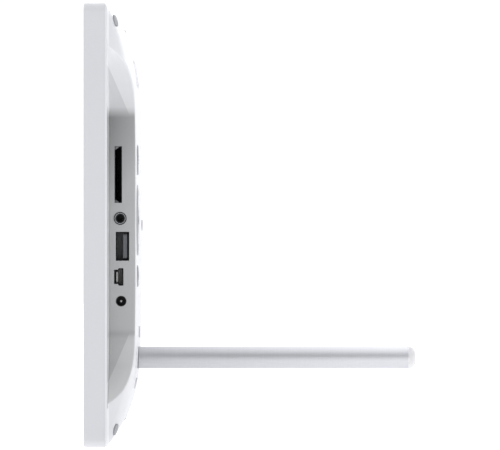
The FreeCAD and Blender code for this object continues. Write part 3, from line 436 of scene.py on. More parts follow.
def anodised_rod(settings):
    """Anodised aluminium rod, turned then bead-blasted: soft grey bands with faint tool rings."""
    finish = Finish("anodised_aluminium_rod", settings.rod, 0.5, metallic=1.0)
    rings = finish.grain(0.35, 2.0, 0.006, stretch=(0.02, 1, 0.02))
    blast = finish.grain(0.3, 3.0, 0.006)
    finish.vary_roughness(blast, 0.46, 0.58)
    finish.mottle(rings, 0.93)
    # painted shade along the rod: darker by the cover and paler toward the tip
    y = finish.add("ShaderNodeSeparateXYZ", (finish.place,), "Y")
    tone = finish.share((y, ROD_START, ROD_END, *ROD_PAINTED_SHADE))
    finish.set("Base Color", finish.add(
        "ShaderNodeVectorMath", {0: finish.linked("Base Color"), "Scale": tone},
        operation="SCALE"))
    return finish.material


def zinc_steel(name, code="#B9BDC4", roughness=0.34):
    """Zinc-plated steel: bluish silver with small mottled crystals."""
    finish = Finish(name, code, roughness, metallic=1.0)
    spangle = finish.add("ShaderNodeTexVoronoi",
                         {"Vector": finish.place, "Scale": 1 / (0.9 * MM)}, "Color")
    value = finish.add("ShaderNodeSeparateColor", (spangle,))
    finish.vary_roughness(value, roughness - 0.06, roughness + 0.12, (0.0, 1.0))
    finish.grain(0.3, 3.0, 0.006)
    finish.mottle(value, 0.82)
    return finish.material


def rolled_steel():
    """Cold-rolled sheet steel of frames and brackets: grey, with long fine rolling lines."""
    finish = Finish("rolled_sheet_steel", "#A9ADB3", 0.38, metallic=1.0)
    lines = finish.grain(0.3, 3.0, 0.01, stretch=(0.04, 1, 1))
    finish.vary_roughness(lines, 0.3, 0.5)
    finish.mottle(lines, 0.86)
    return finish.material


def turned_brass():
    """Free-cutting brass sockets: warm yellow, with rings left by the lathe."""
    finish = Finish("turned_brass", "#C9A24C", 0.28, metallic=1.0)
    finish.mottle(finish.grain(0.25, 2.0, 0.008, 0.6, stretch=(0.03, 1, 0.03)), 0.85)
    return finish.material


def nickel_plate(name, code, roughness):
    """Nickel plate over stamped or turned metal: warm bright silver, hazed by handling."""
    finish = Finish(name, code, roughness, metallic=1.0)
    haze = finish.grain(1.6, 3.0)
    finish.vary_roughness(haze, roughness - 0.05, roughness + 0.1)
    finish.grain(0.25, 3.0, 0.005, 0.4)
    finish.mottle(haze, 0.9)
    return finish.material


def tinned_bronze():
    """Tinned bronze spring contacts: dull warm grey, wiped brighter along the rubbing line."""
    finish = Finish("tinned_bronze_contact", "#67625A", 0.3, metallic=1.0)
    wipe = finish.grain(0.4, 2.0, stretch=(0.1, 1, 1))
    finish.vary_roughness(wipe, 0.2, 0.4)
    finish.mottle(wipe, 0.88)
    return finish.material


def aluminium_can():
    """Drawn aluminium capacitor cans: bright, brushed upward by the drawing die."""
    finish = Finish("drawn_aluminium_can", "#CFD2D6", 0.3, metallic=1.0)
    finish.mottle(finish.grain(0.2, 2.0, 0.006, stretch=(1, 0.05, 1)), 0.88)
    return finish.material


# ---- materials: display ----------------------------------------------------------------------
def clear_acrylic():
    """Cast acrylic window: colourless and glossy, with a faint orange peel from casting."""
    finish = Finish("cast_acrylic_window", "#FAFBFC", 0.03, ior=1.49)
    finish.set("Transmission Weight", 1.0)
    finish.grain(24.0, 2.0, 0.004, 0.3)
    finish.vary_roughness(finish.grain(9.0, 3.0), 0.02, 0.05)
    return finish.material


def dark_display(settings):
    """Liquid crystal panel that is switched off: blue-black, antiglare film over fine cells."""
    finish = Finish("switched_off_display", settings.display, 0.22, ior=1.5)
    pitch = 0.8 * MM  # the real cells are 0.26 mm, too fine to show
    stripes = [finish.add("ShaderNodeTexWave",
                          {"Vector": finish.place, "Scale": WAVE_LENGTH / pitch}, "Fac",
                          wave_type="BANDS", bands_direction=axis) for axis in "XZ"]
    finish.mottle(finish.add("ShaderNodeMath", stripes, operation="MULTIPLY"), 0.7)
    finish.grain(0.4, 2.0, 0.004)
    finish.set("Coat Weight", 0.4)
    finish.set("Coat Roughness", 0.12)
    return finish.material


def light_guide():
    """Acrylic light guide: clear edge, milky from the printed dots on its back."""
    finish = Finish("printed_light_guide", "#EEF2F4", 0.15, ior=1.49)
    finish.set("Transmission Weight", 0.5)
    dots = finish.add("ShaderNodeTexVoronoi", {"Vector": finish.place, "Scale": 1 / (1.5 * MM),
                                               "Randomness": 0.0}, "Distance", feature="F1")
    finish.mottle(dots, 0.85, (0.35, 0.2))
    return finish.material


# ---- materials: electronics ------------------------------------------------------------------
def solder_mask():
    """Glass-epoxy board under green solder mask: glossy, with copper tracks shadowed beneath."""
    finish = Finish("green_solder_mask", "#1E6B3C", 0.25, ior=1.5)
    x, y, z = finish.add("ShaderNodeSeparateXYZ", (finish.place,)).node.outputs
    board = finish.add("ShaderNodeCombineXYZ", (x, z, y))  # the pattern is drawn flat on X and Z
    tracks = finish.add("ShaderNodeTexBrick", {"Vector": board, "Scale": 1 / (2.2 * MM),
                                               "Mortar Size": 0.12, "Brick Width": 3.1,
                                               "Row Height": 0.6}, "Fac", offset=0.35, squash=2.0)
    finish.raise_by(tracks, 0.035)
    finish.mottle(tracks, 0.62, (1.0, 0.0))
    return finish.material


def epoxy_package():
    """Moulded epoxy chip packages: soft black, with a fine matt texture."""
    finish = Finish("moulded_epoxy_package", "#26272A", 0.55, ior=1.55)
    finish.grain(0.25, 3.0, 0.01, 0.6)
    finish.mottle(finish.grain(1.5, 3.0), 0.75)
    return finish.material


def ribbon_film():
    """Polyimide ribbon: amber film with straight conductors showing through as bands."""
    finish = Finish("polyimide_ribbon", "#C98A3A", 0.3, ior=1.6)
    bands = finish.add("ShaderNodeTexWave", {"Vector": finish.place, "Scale": WAVE_LENGTH / MM},
                       "Fac", wave_type="BANDS", bands_direction="Z")
    finish.raise_by(bands, 0.03)
    finish.mottle(bands, 0.6)
    return finish.material


def pressed_paper():
    """Pressed paper speaker cones: dark and felted, with loose short fibres."""
    finish = Finish("pressed_paper_cone", "#33312F", 0.9)
    fibres = finish.grain(0.35, 5.0, 0.05, 1.0)
    finish.mottle(fibres, 0.6, NOISE_SPAN)
    return finish.material


def sintered_ferrite():
    """Sintered ferrite magnets: charcoal ceramic, slightly sparkling where it was ground."""
    finish = Finish("sintered_ferrite", "#3B3C3F", 0.5, metallic=0.3)
    finish.mottle(finish.grain(0.3, 4.0, 0.02, 1.0), 0.7)
    return finish.material


def printed_ink(name, base):
    """Screen-printed ink on the keys: matt, with the slightly thick edge of a pad print."""
    finish = Finish(name, base, 0.6)
    finish.mottle(finish.grain(0.25, 2.0, 0.008, 0.6), 0.85)
    return finish.material


def studio_floor(settings):
    """Back-lit matt acrylic sheet: pale and even, so shadows on it stay faint."""
    finish = Finish("lit_acrylic_sheet", settings.floor, 0.85)
    finish.set("Emission Color", WHITE)
    finish.set("Emission Strength", settings.floor_glow)
    finish.mottle(finish.grain(300.0, 2.0), 0.99)
    return finish.material


# ---- modelling steps -------------------------------------------------------------------------
MERGE = 0.002 * MM  # points closer than this are one
ALONG = 0.9  # part of a normal along an axis, from which a face looks that way
ROUND = 48  # sides of a small round
SHARP = math.radians(32)  # edges turned by more than this stay sharp


def object_mode():
    """Leaves edit mode."""
    if bpy.context.mode != "OBJECT":
        bpy.ops.object.mode_set(mode="OBJECT")


def start_clean():
    """Object mode with nothing selected."""
    object_mode()
    bpy.ops.object.select_all(action="DESELECT")


def added(operator, **settings):
    """The object that an operator adds, with nothing else selected."""
    start_clean()
    operator(**settings)
    return bpy.context.active_object


def apply_place(location=True):
    """Puts a piece's turn and scale, and its place unless told not to, into its mesh."""
    bpy.ops.object.transform_apply(location=location, rotation=True, scale=True)


def edit_all():
    """Edit mode with everything selected."""
    bpy.ops.object.mode_set(mode="EDIT")
    bpy.ops.mesh.select_all(action="SELECT")


def edit_selected(piece, test):
    """Selects the faces of a piece that pass a test, and leaves it in edit mode."""
    bpy.ops.object.mode_set(mode="EDIT")
    bpy.ops.mesh.select_mode(type="FACE")
    bpy.ops.mesh.select_all(action="DESELECT")
    mesh = bmesh.from_edit_mesh(piece.data)
    for face in mesh.faces:
        face.select_set(test(face))
    mesh.select_flush_mode()
    bmesh.update_edit_mesh(piece.data)


def apply_modifiers(piece):
    """Applies every modifier of a piece, in order."""
    object_mode()
    for modifier in list(piece.modifiers):
        bpy.ops.object.modifier_apply(modifier=modifier.name)


def bevelled(piece, width, segments=2):
    """Rounds the sharp edges of a piece."""
    object_mode()
    bevel = piece.modifiers.new("rounded_edges", "BEVEL")
    bevel.width = width
    bevel.segments = segments
    bevel.limit_method = "ANGLE"
    apply_modifiers(piece)


def settle(piece, name, material, body):
    """Names a piece, leans it back with the frame, smooths it and fixes it to its body."""
    object_mode()
    piece.name = name
    piece.data.name = name
    apply_place()
    piece.data.transform(TO_ROW)
    edit_all()
    bpy.ops.mesh.remove_doubles(threshold=MERGE)
    bpy.ops.mesh.normals_make_consistent(inside=False)
    object_mode()
    bpy.ops.object.shade_smooth_by_angle(angle=SHARP)
    piece.data.materials.clear()
    piece.data.materials.append(material)
    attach(piece, body)


def block(lowest, highest):
    """A block between two corners of the upright frame, in edit-ready form."""
    lowest, highest = Vector(lowest), Vector(highest)
    piece = added(bpy.ops.mesh.primitive_cube_add, size=1, location=(lowest + highest) / 2)
    piece.scale = highest - lowest
    apply_place()
    return piece


def disc(middle, radius, depth, along="Y"):
    """A flat disc whose axis runs along Y, or along X."""
    turn = (math.pi / 2, 0, 0) if along == "Y" else (0, math.pi / 2, 0)
    piece = added(bpy.ops.mesh.primitive_cylinder_add, vertices=ROUND, radius=radius,
                  depth=depth, location=middle, rotation=turn)
    apply_place()
    return piece


def joined(pieces):
    """Several objects made one."""
    start_clean()
    for piece in pieces:
        piece.select_set(True)
    bpy.context.view_layer.objects.active = pieces[0]
    if len(pieces) > 1:
        bpy.ops.object.join()
    return bpy.context.active_object


def repeated(piece, moves):
    """A piece and its copies, each with a mesh of its own, joined into one."""
    pieces = [piece]
    for move in moves:
        start_clean()
        piece.select_set(True)
        bpy.context.view_layer.objects.active = piece
        bpy.ops.object.duplicate()
        pieces.append(bpy.context.active_object)
        pieces[-1].data.transform(move)
    return joined(pieces)


def shifted(z):
    """A move up by z."""
    return Matrix.Translation((0, 0, z))


def tube(middle, outer, inner, depth):
    """A flat ring whose axis runs along X."""
    piece = disc(middle, outer, depth, along="X")
    edit_selected(piece, lambda face: abs(face.normal.x) > ALONG)
    bpy.ops.mesh.inset(thickness=outer - inner)
    bpy.ops.mesh.bridge_edge_loops()
    bevelled(piece, depth * 0.25, 1)
    return piece


# ---- stand stud ------------------------------------------------------------------------------
def build_stud(details, material):
    """Steel stud with a real screw thread, which turns out of its socket with the rod."""
    lowest, highest, middle = upright_box("stand_stud")
    radius = (highest.x - lowest.x) / 2
    length = highest.y - lowest.y
    pitch, depth = details.thread_pitch, details.thread_depth
    crest, flank = pitch / 8, pitch * 5 / 16
    stud = added(bpy.ops.mesh.primitive_plane_add, size=pitch, location=(0, 0, 0))
    edit_all()
    bpy.ops.mesh.merge(type="CENTER")
    bpy.ops.transform.translate(value=(radius - depth, 0, -2 * pitch))
    for move in ((0, 0, pitch / 4), (depth, 0, flank), (0, 0, crest), (-depth, 0, flank)):
        bpy.ops.mesh.extrude_region_move(TRANSFORM_OT_translate={"value": move})
    object_mode()
    screw = stud.modifiers.new("thread", "SCREW")
    screw.axis = "Z"
    screw.angle = math.tau
    screw.screw_offset = pitch
    screw.iterations = math.ceil(length / pitch) + 4  # two turns to spare at each end
    screw.steps = screw.render_steps = 28
    screw.use_merge_vertices = True
    apply_modifiers(stud)
    edit_all()
    bpy.ops.mesh.remove_doubles(threshold=MERGE)
    for height, inner, outer in ((0.0, True, False), (length, False, True)):
        bpy.ops.mesh.select_all(action="SELECT")
        bpy.ops.mesh.bisect(plane_co=(0, 0, height), plane_no=(0, 0, 1), use_fill=True,
                            clear_inner=inner, clear_outer=outer)
    object_mode()
    stud.rotation_euler = (-math.pi / 2, 0, 0)
    stud.location = (middle.x, lowest.y, middle.z)
    settle(stud, "stand_stud_thread", material, "rod_body")
    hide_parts("stand_stud")


# ---- contacts inside the sockets -------------------------------------------------------------
SUNK = 0.05 * MM  # how deep a contact is set into its tongue
LEAF_END = 0.5 * MM  # length of a contact's turned-down end


def add_contacts(name, low, high, drop, rises, material):
    """A row of like spring contacts, whose outer ends turn down by drop."""
    leaf = block(low, high)
    edit_selected(leaf, lambda face: face.normal.x > ALONG)
    bpy.ops.mesh.extrude_region_move(TRANSFORM_OT_translate={"value": (LEAF_END, drop, 0)})
    bevelled(leaf, 0.04 * MM, 1)
    row = repeated(leaf, [shifted(rise) for rise in rises])
    settle(row, name, material, "casing")


def build_usb_contacts(details, material):
    """Four flat contacts under the tongue of the USB type A socket."""
    lowest, highest, middle = upright_box("usb_a_tongue")
    depth, half_width = details.contact_depth, 0.5 * MM
    first = middle.z - 3.5 * MM
    low = (lowest.x + 2 * MM, lowest.y - depth, first - half_width)
    high = (highest.x - 1.2 * MM, lowest.y + SUNK, first + half_width)
    add_contacts("usb_a_contacts", low, high, depth * 0.8,
                 [rise * MM for rise in (2.5, 4.5, 7.0)], material)


def build_mini_usb_contacts(details, material):
    """Five narrow contacts on the tongue of the mini-USB socket."""
    lowest, highest, middle = upright_box("mini_usb_tongue")
    depth, half_width, pitch = details.contact_depth, 0.18 * MM, 0.8 * MM
    first = middle.z - 2 * pitch
    low = (lowest.x + 1 * MM, highest.y - SUNK, first - half_width)
    high = (highest.x - 0.8 * MM, highest.y + depth, first + half_width)
    add_contacts("mini_usb_contacts", low, high, -depth * 0.8,
                 [pitch * count for count in range(1, 5)], material)


def build_card_contacts(details, material):
    """Nine spring fingers along the inside of the memory card slot."""
    lowest, _, middle = upright_box("sd_card_socket")
    half_width, pitch = 0.45 * MM, 2.5 * MM
    y, first = middle.y - 1.2 * MM, middle.z - 4 * pitch
    low = (lowest.x + 3 * MM, y, first - half_width)
    high = (lowest.x + 9 * MM, y + details.contact_depth, first + half_width)
    add_contacts("sd_card_contacts", low, high, 0.5 * MM,
                 [pitch * count for count in range(1, 9)], material)


def build_jack_spring(details, material):
    """Leaf spring that touches a headphone plug inside the jack."""
    _, highest, middle = upright_box("headphone_jack_ring")
    y, half_width = middle.y + 1.35 * MM, 0.5 * MM
    low = (highest.x - 9 * MM, y, middle.z - half_width)
    high = (highest.x - 3 * MM, y + details.contact_depth, middle.z + half_width)
    add_contacts("headphone_jack_spring", low, high, -0.3 * MM, (), material)


def build_card_guides(material):
    """Two small hooked guides at the ends of the card slot, on its bezel side."""
    lowest, highest, _ = upright_box("sd_card_socket")
    frame_edge, slot_width, gap = 0.9 * MM, 3.5 * MM, 0.02 * MM
    reach, width, foot, hook = 1.5 * MM, 1.9 * MM, 0.6 * MM, 0.9 * MM
    y = highest.y - 0.1 * MM - slot_width
    guides = []
    for end, sign in ((lowest.z + frame_edge, 1), (highest.z - frame_edge, -1)):
        ends = sorted((end + sign * gap, end + sign * foot))
        guide = block((highest.x + 0.15 * MM, y + gap, ends[0]),
                      (highest.x + reach, y + width, ends[1]))
        edit_selected(guide, lambda face: face.normal.z * sign > ALONG)
        bpy.ops.mesh.extrude_region_move(
            TRANSFORM_OT_translate={"value": (0, -foot, sign * hook)})
        bpy.ops.transform.resize(value=(1.0, 0.3, 1.0))
        bevelled(guide, 0.08 * MM)
        guides.append(guide)
    settle(joined(guides), "sd_card_guides", material, "casing")


def build_jack_trim(material):
    """Two black insulating rings on the face of the headphone jack, round and inside its metal."""
    lowest, highest, at = upright_box("headphone_jack_ring")
    proud, depth = 0.02 * MM, 0.12 * MM
    at.x = highest.x + proud
    outer = (highest.z - lowest.z) / 2
    bore = outer - 1.05 * MM
    rings = [tube(at, outer + proud, outer - 0.3 * MM, depth),
             tube(at, bore + 0.5 * MM, bore - 0.05 * MM, depth)]
    settle(joined(rings), "headphone_jack_trim", material, "casing")


# ---- marks on the keys -----------------------------------------------------------------------
INK_BODY, INK_EDGE = 1.3, 0.4  # thickness and rounding of a mark, by how far it stands proud


def key_top(name):
    """Middle of a key's top face."""
    _, highest, middle = upright_box(name)
    return Vector((middle.x, highest.y, middle.z))


def print_block(at, width, height, depth):
    """A printed bar with softened corners, sunk slightly into the key."""
    low = (at.x - width / 2, at.y - depth / 3, at.z - height / 2)
    high = (at.x + width / 2, at.y + depth, at.z + height / 2)
    piece = block(low, high)
    bevelled(piece, depth * 0.45)
    return piece


def build_nav_marks(details, material):
    """Four plain arrows on the ring, pointing up, down, left and right."""
    lowest, highest, _ = upright_box("nav_ring")
    _, key_edge, key_middle = upright_box("ok_key")
    inner = key_edge.x - key_middle.x
    outer = (highest.x - lowest.x) / 2
    middle = key_top("nav_ring")
    spot = middle + Vector(((inner + outer) / 2, details.ink_depth / 3, 0))
    arrow = added(bpy.ops.mesh.primitive_cylinder_add, vertices=3, radius=(outer - inner) * 0.2,
                  depth=details.ink_depth * INK_BODY, location=spot,
                  rotation=(math.pi / 2, 0, 0))
    apply_place(location=False)
    corner = max(arrow.data.vertices, key=lambda v: v.co.length).co
    arrow.rotation_euler = (0, math.atan2(corner.z, corner.x), 0)
    apply_place()
    bevelled(arrow, details.ink_depth * INK_EDGE)
    there, back = Matrix.Translation(middle), Matrix.Translation(-middle)
    quarters = [there @ Matrix.Rotation(quarter * math.pi / 2, 4, "Y") @ back
                for quarter in (1, 2, 3)]
    settle(repeated(arrow, quarters), "nav_arrow_marks", material, "nav_ring_body")


def build_menu_mark(details, material):
    """Three short bars on the menu key."""
    width, height, pitch = 5.0 * MM, 0.6 * MM, 1.6 * MM
    bar = print_block(key_top("menu_key"), width, height, details.ink_depth)
    bars = repeated(bar, [shifted(-pitch), shifted(pitch)])
    settle(bars, "menu_mark", material, "menu_body")


def build_ring_mark(at, radius, line, depth, gap):
    """A printed ring, open at its top by gap degrees each side."""
    ring = added(bpy.ops.mesh.primitive_circle_add, vertices=ROUND, radius=radius, location=at,
                 rotation=(math.pi / 2, 0, 0))
    apply_place(location=False)
    edit_all()
    bpy.ops.mesh.select_mode(type="EDGE")
    bpy.ops.mesh.select_all(action="SELECT")
    factor = 1 - line / radius
    bpy.ops.mesh.extrude_region_move()
    bpy.ops.transform.resize(value=(factor, 1, factor), center_override=at)
    limit = math.cos(math.radians(gap))
    edit_selected(ring, lambda face: face.calc_center_median().normalized().z > limit)
    if gap:
        bpy.ops.mesh.delete(type="FACE")
    object_mode()
    thick = ring.modifiers.new("ink", "SOLIDIFY")
    thick.thickness = depth * INK_BODY
    thick.offset = 0
    apply_modifiers(ring)
    bevelled(ring, depth * INK_EDGE)
    return ring


def build_power_mark(details, material):
    """An open ring with a bar in its gap on the power key."""
    ink, top = details.ink_depth, key_top("power_key")
    radius, line, gap = 2.1 * MM, 0.5 * MM, 32
    rise, height = 1.6 * MM, 1.9 * MM
    ring = build_ring_mark(top + Vector((0, ink / 3, 0)), radius, line, ink, gap)
    bar = print_block(top + Vector((0, 0, rise)), line, height, ink)
    settle(joined([ring, bar]), "power_mark", material, "power_body")


def build_ok_mark(details, material):
    """A closed ring with a dot on the key in the middle."""
    ink, radius, line, dot_radius = details.ink_depth, 2.6 * MM, 0.45 * MM, 0.8 * MM
    at = key_top("ok_key") + Vector((0, ink / 3, 0))
    ring = build_ring_mark(at, radius, line, ink, 0)
    dot = disc(at, dot_radius, ink * INK_BODY)
    bevelled(dot, ink * INK_EDGE)
    settle(joined([ring, dot]), "ok_mark", material, "ok_body")


# ---- border of the display -------------------------------------------------------------------
def build_display_border(material):
    """Black ink border printed on the back of the window, around the picture."""
    low, high, middle = upright_box("front_window")
    margin, overlap = 1 * MM, 2.2 * MM  # short of the window's edge, and over the panel's
    narrowest, thickness = 2.0 * MM, 0.06 * MM
    border = added(bpy.ops.mesh.primitive_plane_add, size=1,
                   location=(middle.x, high.y, middle.z), rotation=(math.pi / 2, 0, 0))
    border.scale = (high.x - low.x - margin, high.z - low.z - margin, 1)
    apply_place()
    edit_selected(border, lambda face: True)
    picture = upright_box("lcd_panel")[0]
    inset = min(picture.z - low.z, picture.x - low.x) + overlap
    bpy.ops.mesh.inset(thickness=max(inset, narrowest), depth=0)
    bpy.ops.mesh.delete(type="FACE")
    object_mode()
    thick = border.modifiers.new("ink", "SOLIDIFY")
    thick.thickness = thickness
    thick.offset = 0
    apply_modifiers(border)
    settle(border, "display_border", material, "casing")


# ---- studio ----------------------------------------------------------------------------------
AIM_DEPTH = 67.2 * MM  # where the camera looks, behind the seam
AIM_HEIGHT = 103.1 * MM  # and above the bottom edge
SENSOR_WIDTH = 36.0
FLOOR_DROP = 0.05 * MM

# Brightness of the light tent by direction: (axis, sign, starts at, full at, gain)
TENT_BASE = 0.4
TENT_COLOUR = (0.985, 0.99, 1.0, 1.0)
BACKDROP_STRENGTH = 1.05  # what the camera sees behind the frame
TENT_SIDES = (
    ("Y", -1, 0.15, 0.95, 0.08),  # a little more on the display side
    ("Y", 1, 0.15, 0.95, 0.08),  # and behind the rod
    ("X", -1, 0.1, 0.9, 0.8),  # white wall beyond the frame
    ("Z", 1, 0.35, 1.0, 0.85),  # ceiling panel
    ("X", 1, 0.55, 0.95, -0.1),  # darker room round the camera
)

# Large softbox behind and beyond the frame, which skims over its back
SOFTBOX_FROM = (-0.87, 0.49, 0.06)
SOFTBOX_SPREAD = 28.0  # degrees
SOFTBOX_STRENGTH = 0.5


def build_floor(studio):
    """Plain pale floor that the frame stands on."""
    floor = added(bpy.ops.mesh.primitive_plane_add, size=studio.floor_size,
                  location=(0, 0, -FLOOR_DROP))
    edit_all()
    bpy.ops.mesh.subdivide(number_cuts=3)
    object_mode()
    apply_place()
    floor.name = "studio_floor"
    floor.data.materials.append(studio_floor(studio))


def build_tent():
    """World light of a white tent: bright behind and beside, dimmer round the camera."""
    world = bpy.data.worlds.new("light_tent")
    world.use_nodes = True
    tree = world.node_tree
    tree.nodes.clear()
    direction = add_node(tree, "ShaderNodeTexCoord", output="Generated")
    parts = add_node(tree, "ShaderNodeSeparateXYZ", (direction,)).node.outputs
    total = TENT_BASE
    for axis, sign, start, full, gain in TENT_SIDES:
        rising = add_node(tree, "ShaderNodeMapRange",
                          (parts[axis], sign * start, sign * full, 0.0, gain),
                          interpolation_type="SMOOTHSTEP")
        total = add_node(tree, "ShaderNodeMath", (total, rising), operation="ADD")
    tent = add_node(tree, "ShaderNodeBackground", (TENT_COLOUR, total))
    backdrop = add_node(tree, "ShaderNodeBackground", (WHITE, BACKDROP_STRENGTH))
    seen = add_node(tree, "ShaderNodeLightPath", output="Is Camera Ray")
    mixed = add_node(tree, "ShaderNodeMixShader", (seen, tent, backdrop))
    add_node(tree, "ShaderNodeOutputWorld", {"Surface": mixed})
    bpy.context.scene.world = world


def build_softbox():
    """Soft light from behind the far side, so that the back is paler than its sloping sides."""
    softbox = added(bpy.ops.object.light_add, type="SUN", location=(0, 0, 1))
    softbox.name = "studio_softbox"
    softbox.data.energy = SOFTBOX_STRENGTH
    softbox.data.angle = math.radians(SOFTBOX_SPREAD)
    softbox.rotation_euler = Vector(SOFTBOX_FROM).to_track_quat("Z", "Y").to_euler()


def build_camera(studio):
    """Camera level with the port side, turned so that the leaning frame stands upright."""
    camera = added(bpy.ops.object.camera_add)
    camera.name = "studio_camera"
    camera.data.lens = studio.lens
    camera.data.sensor_width = SENSOR_WIDTH
    camera.data.clip_end = 100.0
    facing = Matrix(((0, 0, 1), (1, 0, 0), (0, 1, 0))).to_4x4()
    side = upright_box("front_bezel")[1].x
    place = Vector((side + studio.camera_distance, AIM_DEPTH, AIM_HEIGHT))
    camera.matrix_world = Matrix.Translation(TO_ROW @ place) @ TURN @ facing
    bpy.context.scene.camera = camera


def build_exposure():
    """Plain view transform, so that white stays white."""
    view = bpy.context.scene.view_settings
    view.view_transform = "Standard"
    view.look = "None"
    view.exposure = 0.0
    view.gamma = 1.0


# ---- operators -------------------------------------------------------------------------------
def dress(material, *nodes):
    """Gives frame nodes a finish through their material slots."""
    for name in nodes:
        node = frame["nodes"][name]
        if not node.material_slots:
            node.data.materials.append(material)
        for slot in node.material_slots:
            slot.material = material


class FRAME_OT_dress_casing(bpy.types.Operator):
    """Finishes the bezel, rear cover, keys and screw plugs"""

    bl_idname = "photo_frame.dress_casing"
    bl_label = "Finish casing"

    def execute(self, context):
        settings = context.scene.frame_finish
        dress(casing_abs(settings), "front_bezel", "rear_cover")
        dress(key_abs(settings), "menu_key", "power_key", "ok_key", "nav_ring")
        dress(plug_rubber(settings), "screw_plugs")
        dress(acetal("acetal_plunger", "#2E2F33"), "menu_plunger", "power_plunger", "ok_plunger",
              "nav_plungers")
        dress(acetal("acetal_pivot", "#D9D8D2"), "nav_pivot")
        return {"FINISHED"}


class FRAME_OT_dress_stand(bpy.types.Operator):
    """Finishes the stand rod, its tip, washer and sockets"""

    bl_idname = "photo_frame.dress_stand"
    bl_label = "Finish stand"

    def execute(self, context):
        settings = context.scene.frame_finish
        dress(anodised_rod(settings), "stand_rod")
        dress(tip_elastomer(settings), "stand_tip")
        dress(cut_rubber(), "stand_washer")
        dress(turned_brass(), "stand_nuts")
        return {"FINISHED"}


class FRAME_OT_dress_display(bpy.types.Operator):
    """Finishes the window, display panel, light guide and gasket"""

    bl_idname = "photo_frame.dress_display"
    bl_label = "Finish display"

    def execute(self, context):
        settings = context.scene.frame_finish
        dress(clear_acrylic(), "front_window")
        dress(dark_display(settings), "lcd_panel")
        dress(light_guide(), "light_guide")
        dress(foam_strip(), "window_gasket")
        dress(ribbon_film(), "lcd_ribbon_cable", "key_ribbon_cable")
        return {"FINISHED"}


class FRAME_OT_dress_metalwork(bpy.types.Operator):
    """Finishes the sheet metal, screws and speaker parts"""

    bl_idname = "photo_frame.dress_metalwork"
    bl_label = "Finish metalwork"

    def execute(self, context):
        dress(rolled_steel(), "lcd_front_frame", "lcd_rear_tray", "lcd_brackets", "stand_brackets",
              "speaker_baskets")
        dress(zinc_steel("zinc_plated_screw"), "bracket_screws", "cover_screws", "board_screws",
              "speaker_screws", "key_board_screws", "stand_bracket_screws")
        dress(pressed_paper(), "speaker_cones")
        dress(sintered_ferrite(), "speaker_magnets")
        dress(wire_sleeve(), "speaker_wires")
        return {"FINISHED"}


class FRAME_OT_dress_electronics(bpy.types.Operator):
    """Finishes the boards, chips and sockets"""

    bl_idname = "photo_frame.dress_electronics"
    bl_label = "Finish electronics"

    def execute(self, context):
        dress(solder_mask(), "main_board", "key_board", "led_strip")
        dress(epoxy_package(), "processor_chip", "memory_chips", "board_inductors")
        dress(aluminium_can(), "board_capacitors")
        dress(nylon("nylon_ribbon_socket", "#E6E2D8", 0.42), "ribbon_sockets")
        dress(nylon("nylon_socket_body", "#1D1E20", 0.45), "headphone_jack_body", "dc_jack_body",
              "coin_cell_holder", "tact_switches")
        # painted shade: the card cage's nickel is coloured near black, for the shade inside the
        # slot
        dress(nickel_plate("nickel_card_cage_painted_shade", "#2A2B2D", 0.42), "sd_card_socket")
        # painted shade: the socket shells' nickel is coloured near black, for the shade inside the
        # sockets
        dress(nickel_plate("nickel_socket_shell_painted_shade", "#26272A", 0.34), "usb_a_shell", "mini_usb_shell")
        dress(nickel_plate("bright_nickel", "#C9CACD", 0.2), "headphone_jack_ring", "dc_jack_pin")
        # painted shade: the type A tongue is coloured grey for the shade on its pale plastic inside
        # the socket
        dress(nylon("nylon_tongue", "#77797D", 0.4), "usb_a_tongue")
        dress(nylon("nylon_tongue_pale", "#B4B4B2", 0.4), "mini_usb_tongue")
        dress(nickel_plate("stainless_cell", "#C6C8CB", 0.22), "coin_cell")
        return {"FINISHED"}


class FRAME_OT_add_stud(bpy.types.Operator):
    """Adds the threaded stud that turns out with the rod"""

    bl_idname = "photo_frame.add_stud"
    bl_label = "Add threaded stud"

    def execute(self, context):
        build_stud(context.scene.frame_details, zinc_steel("zinc_plated_stud", "#C2C5CA", 0.26))
        return {"FINISHED"}


class FRAME_OT_add_contacts(bpy.types.Operator):
    """Adds the contacts inside the sockets on the port side"""

    bl_idname = "photo_frame.add_contacts"
    bl_label = "Add socket contacts"

    def execute(self, context):
        details, material = context.scene.frame_details, tinned_bronze()
        build_usb_contacts(details, material)
        build_mini_usb_contacts(details, material)
        build_card_contacts(details, material)
        build_jack_spring(details, material)
        build_jack_trim(nylon("nylon_jack_trim", "#1A1B1D", 0.4))
        build_card_guides(nickel_plate("nickel_card_guide", "#7E7F82", 0.35))
        return {"FINISHED"}


class FRAME_OT_add_key_marks(bpy.types.Operator):
    """Adds the plain marks printed on the keys"""

    bl_idname = "photo_frame.add_key_marks"
    bl_label = "Add key marks"

    def execute(self, context):
        details = context.scene.frame_details
        ink = printed_ink("screen_printed_ink", context.scene.frame_finish.ink)
        build_nav_marks(details, ink)
        build_menu_mark(details, ink)
        build_power_mark(details, ink)
        build_ok_mark(details, ink)
        return {"FINISHED"}


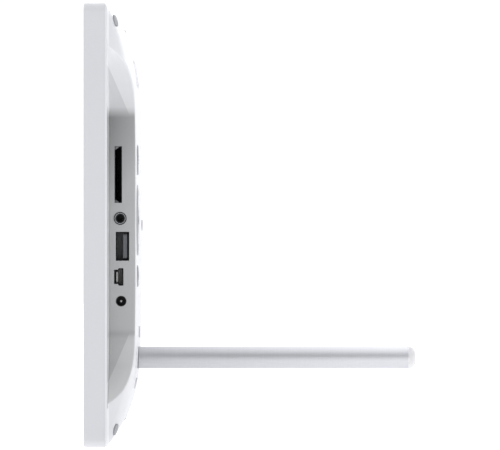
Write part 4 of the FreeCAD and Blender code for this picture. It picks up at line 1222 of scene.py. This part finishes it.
class FRAME_OT_add_display_border(bpy.types.Operator):
    """Adds the black border printed behind the window"""

    bl_idname = "photo_frame.add_display_border"
    bl_label = "Add display border"

    def execute(self, context):
        build_display_border(printed_ink("window_border_ink", colour_of("#0D0E10")))
        return {"FINISHED"}


class FRAME_OT_build_studio(bpy.types.Operator):
    """Builds the floor, light tent and camera"""

    bl_idname = "photo_frame.build_studio"
    bl_label = "Build studio"

    def execute(self, context):
        studio = context.scene.frame_studio
        build_floor(studio)
        build_tent()
        build_softbox()
        build_camera(studio)
        build_exposure()
        return {"FINISHED"}


STEPS = (
    FRAME_OT_dress_casing,
    FRAME_OT_dress_stand,
    FRAME_OT_dress_display,
    FRAME_OT_dress_metalwork,
    FRAME_OT_dress_electronics,
    FRAME_OT_add_stud,
    FRAME_OT_add_contacts,
    FRAME_OT_add_key_marks,
    FRAME_OT_add_display_border,
    FRAME_OT_build_studio,
)


class FRAME_PT_steps(bpy.types.Panel):
    """Lists the settings and the steps in their order"""

    bl_idname = "FRAME_PT_steps"
    bl_label = "Photo frame"
    bl_space_type = "VIEW_3D"
    bl_region_type = "UI"
    bl_category = "Photo frame"

    def draw(self, context):
        layout = self.layout
        scene = context.scene
        for settings in (scene.frame_finish, scene.frame_details, scene.frame_studio):
            box = layout.box()
            for name in settings.__annotations__:
                box.prop(settings, name)
        for step in STEPS:
            layout.operator(step.bl_idname)


SETTINGS = {"frame_finish": FinishSettings, "frame_details": DetailSettings,
            "frame_studio": StudioSettings}


def register():
    """Registers the settings, the steps and the panel."""
    for name, group in SETTINGS.items():
        bpy.utils.register_class(group)
        setattr(bpy.types.Scene, name, PointerProperty(type=group))
    for step in STEPS:
        bpy.utils.register_class(step)
    bpy.utils.register_class(FRAME_PT_steps)


def unregister():
    """Removes what register added."""
    bpy.utils.unregister_class(FRAME_PT_steps)
    for step in reversed(STEPS):
        bpy.utils.unregister_class(step)
    for name, group in SETTINGS.items():
        delattr(bpy.types.Scene, name)
        bpy.utils.unregister_class(group)


def main():
    """Builds everything."""
    register()
    for step in STEPS:
        group, operator = step.bl_idname.split(".")
        getattr(getattr(bpy.ops, group), operator)()


if __name__ == "__main__":
    main()
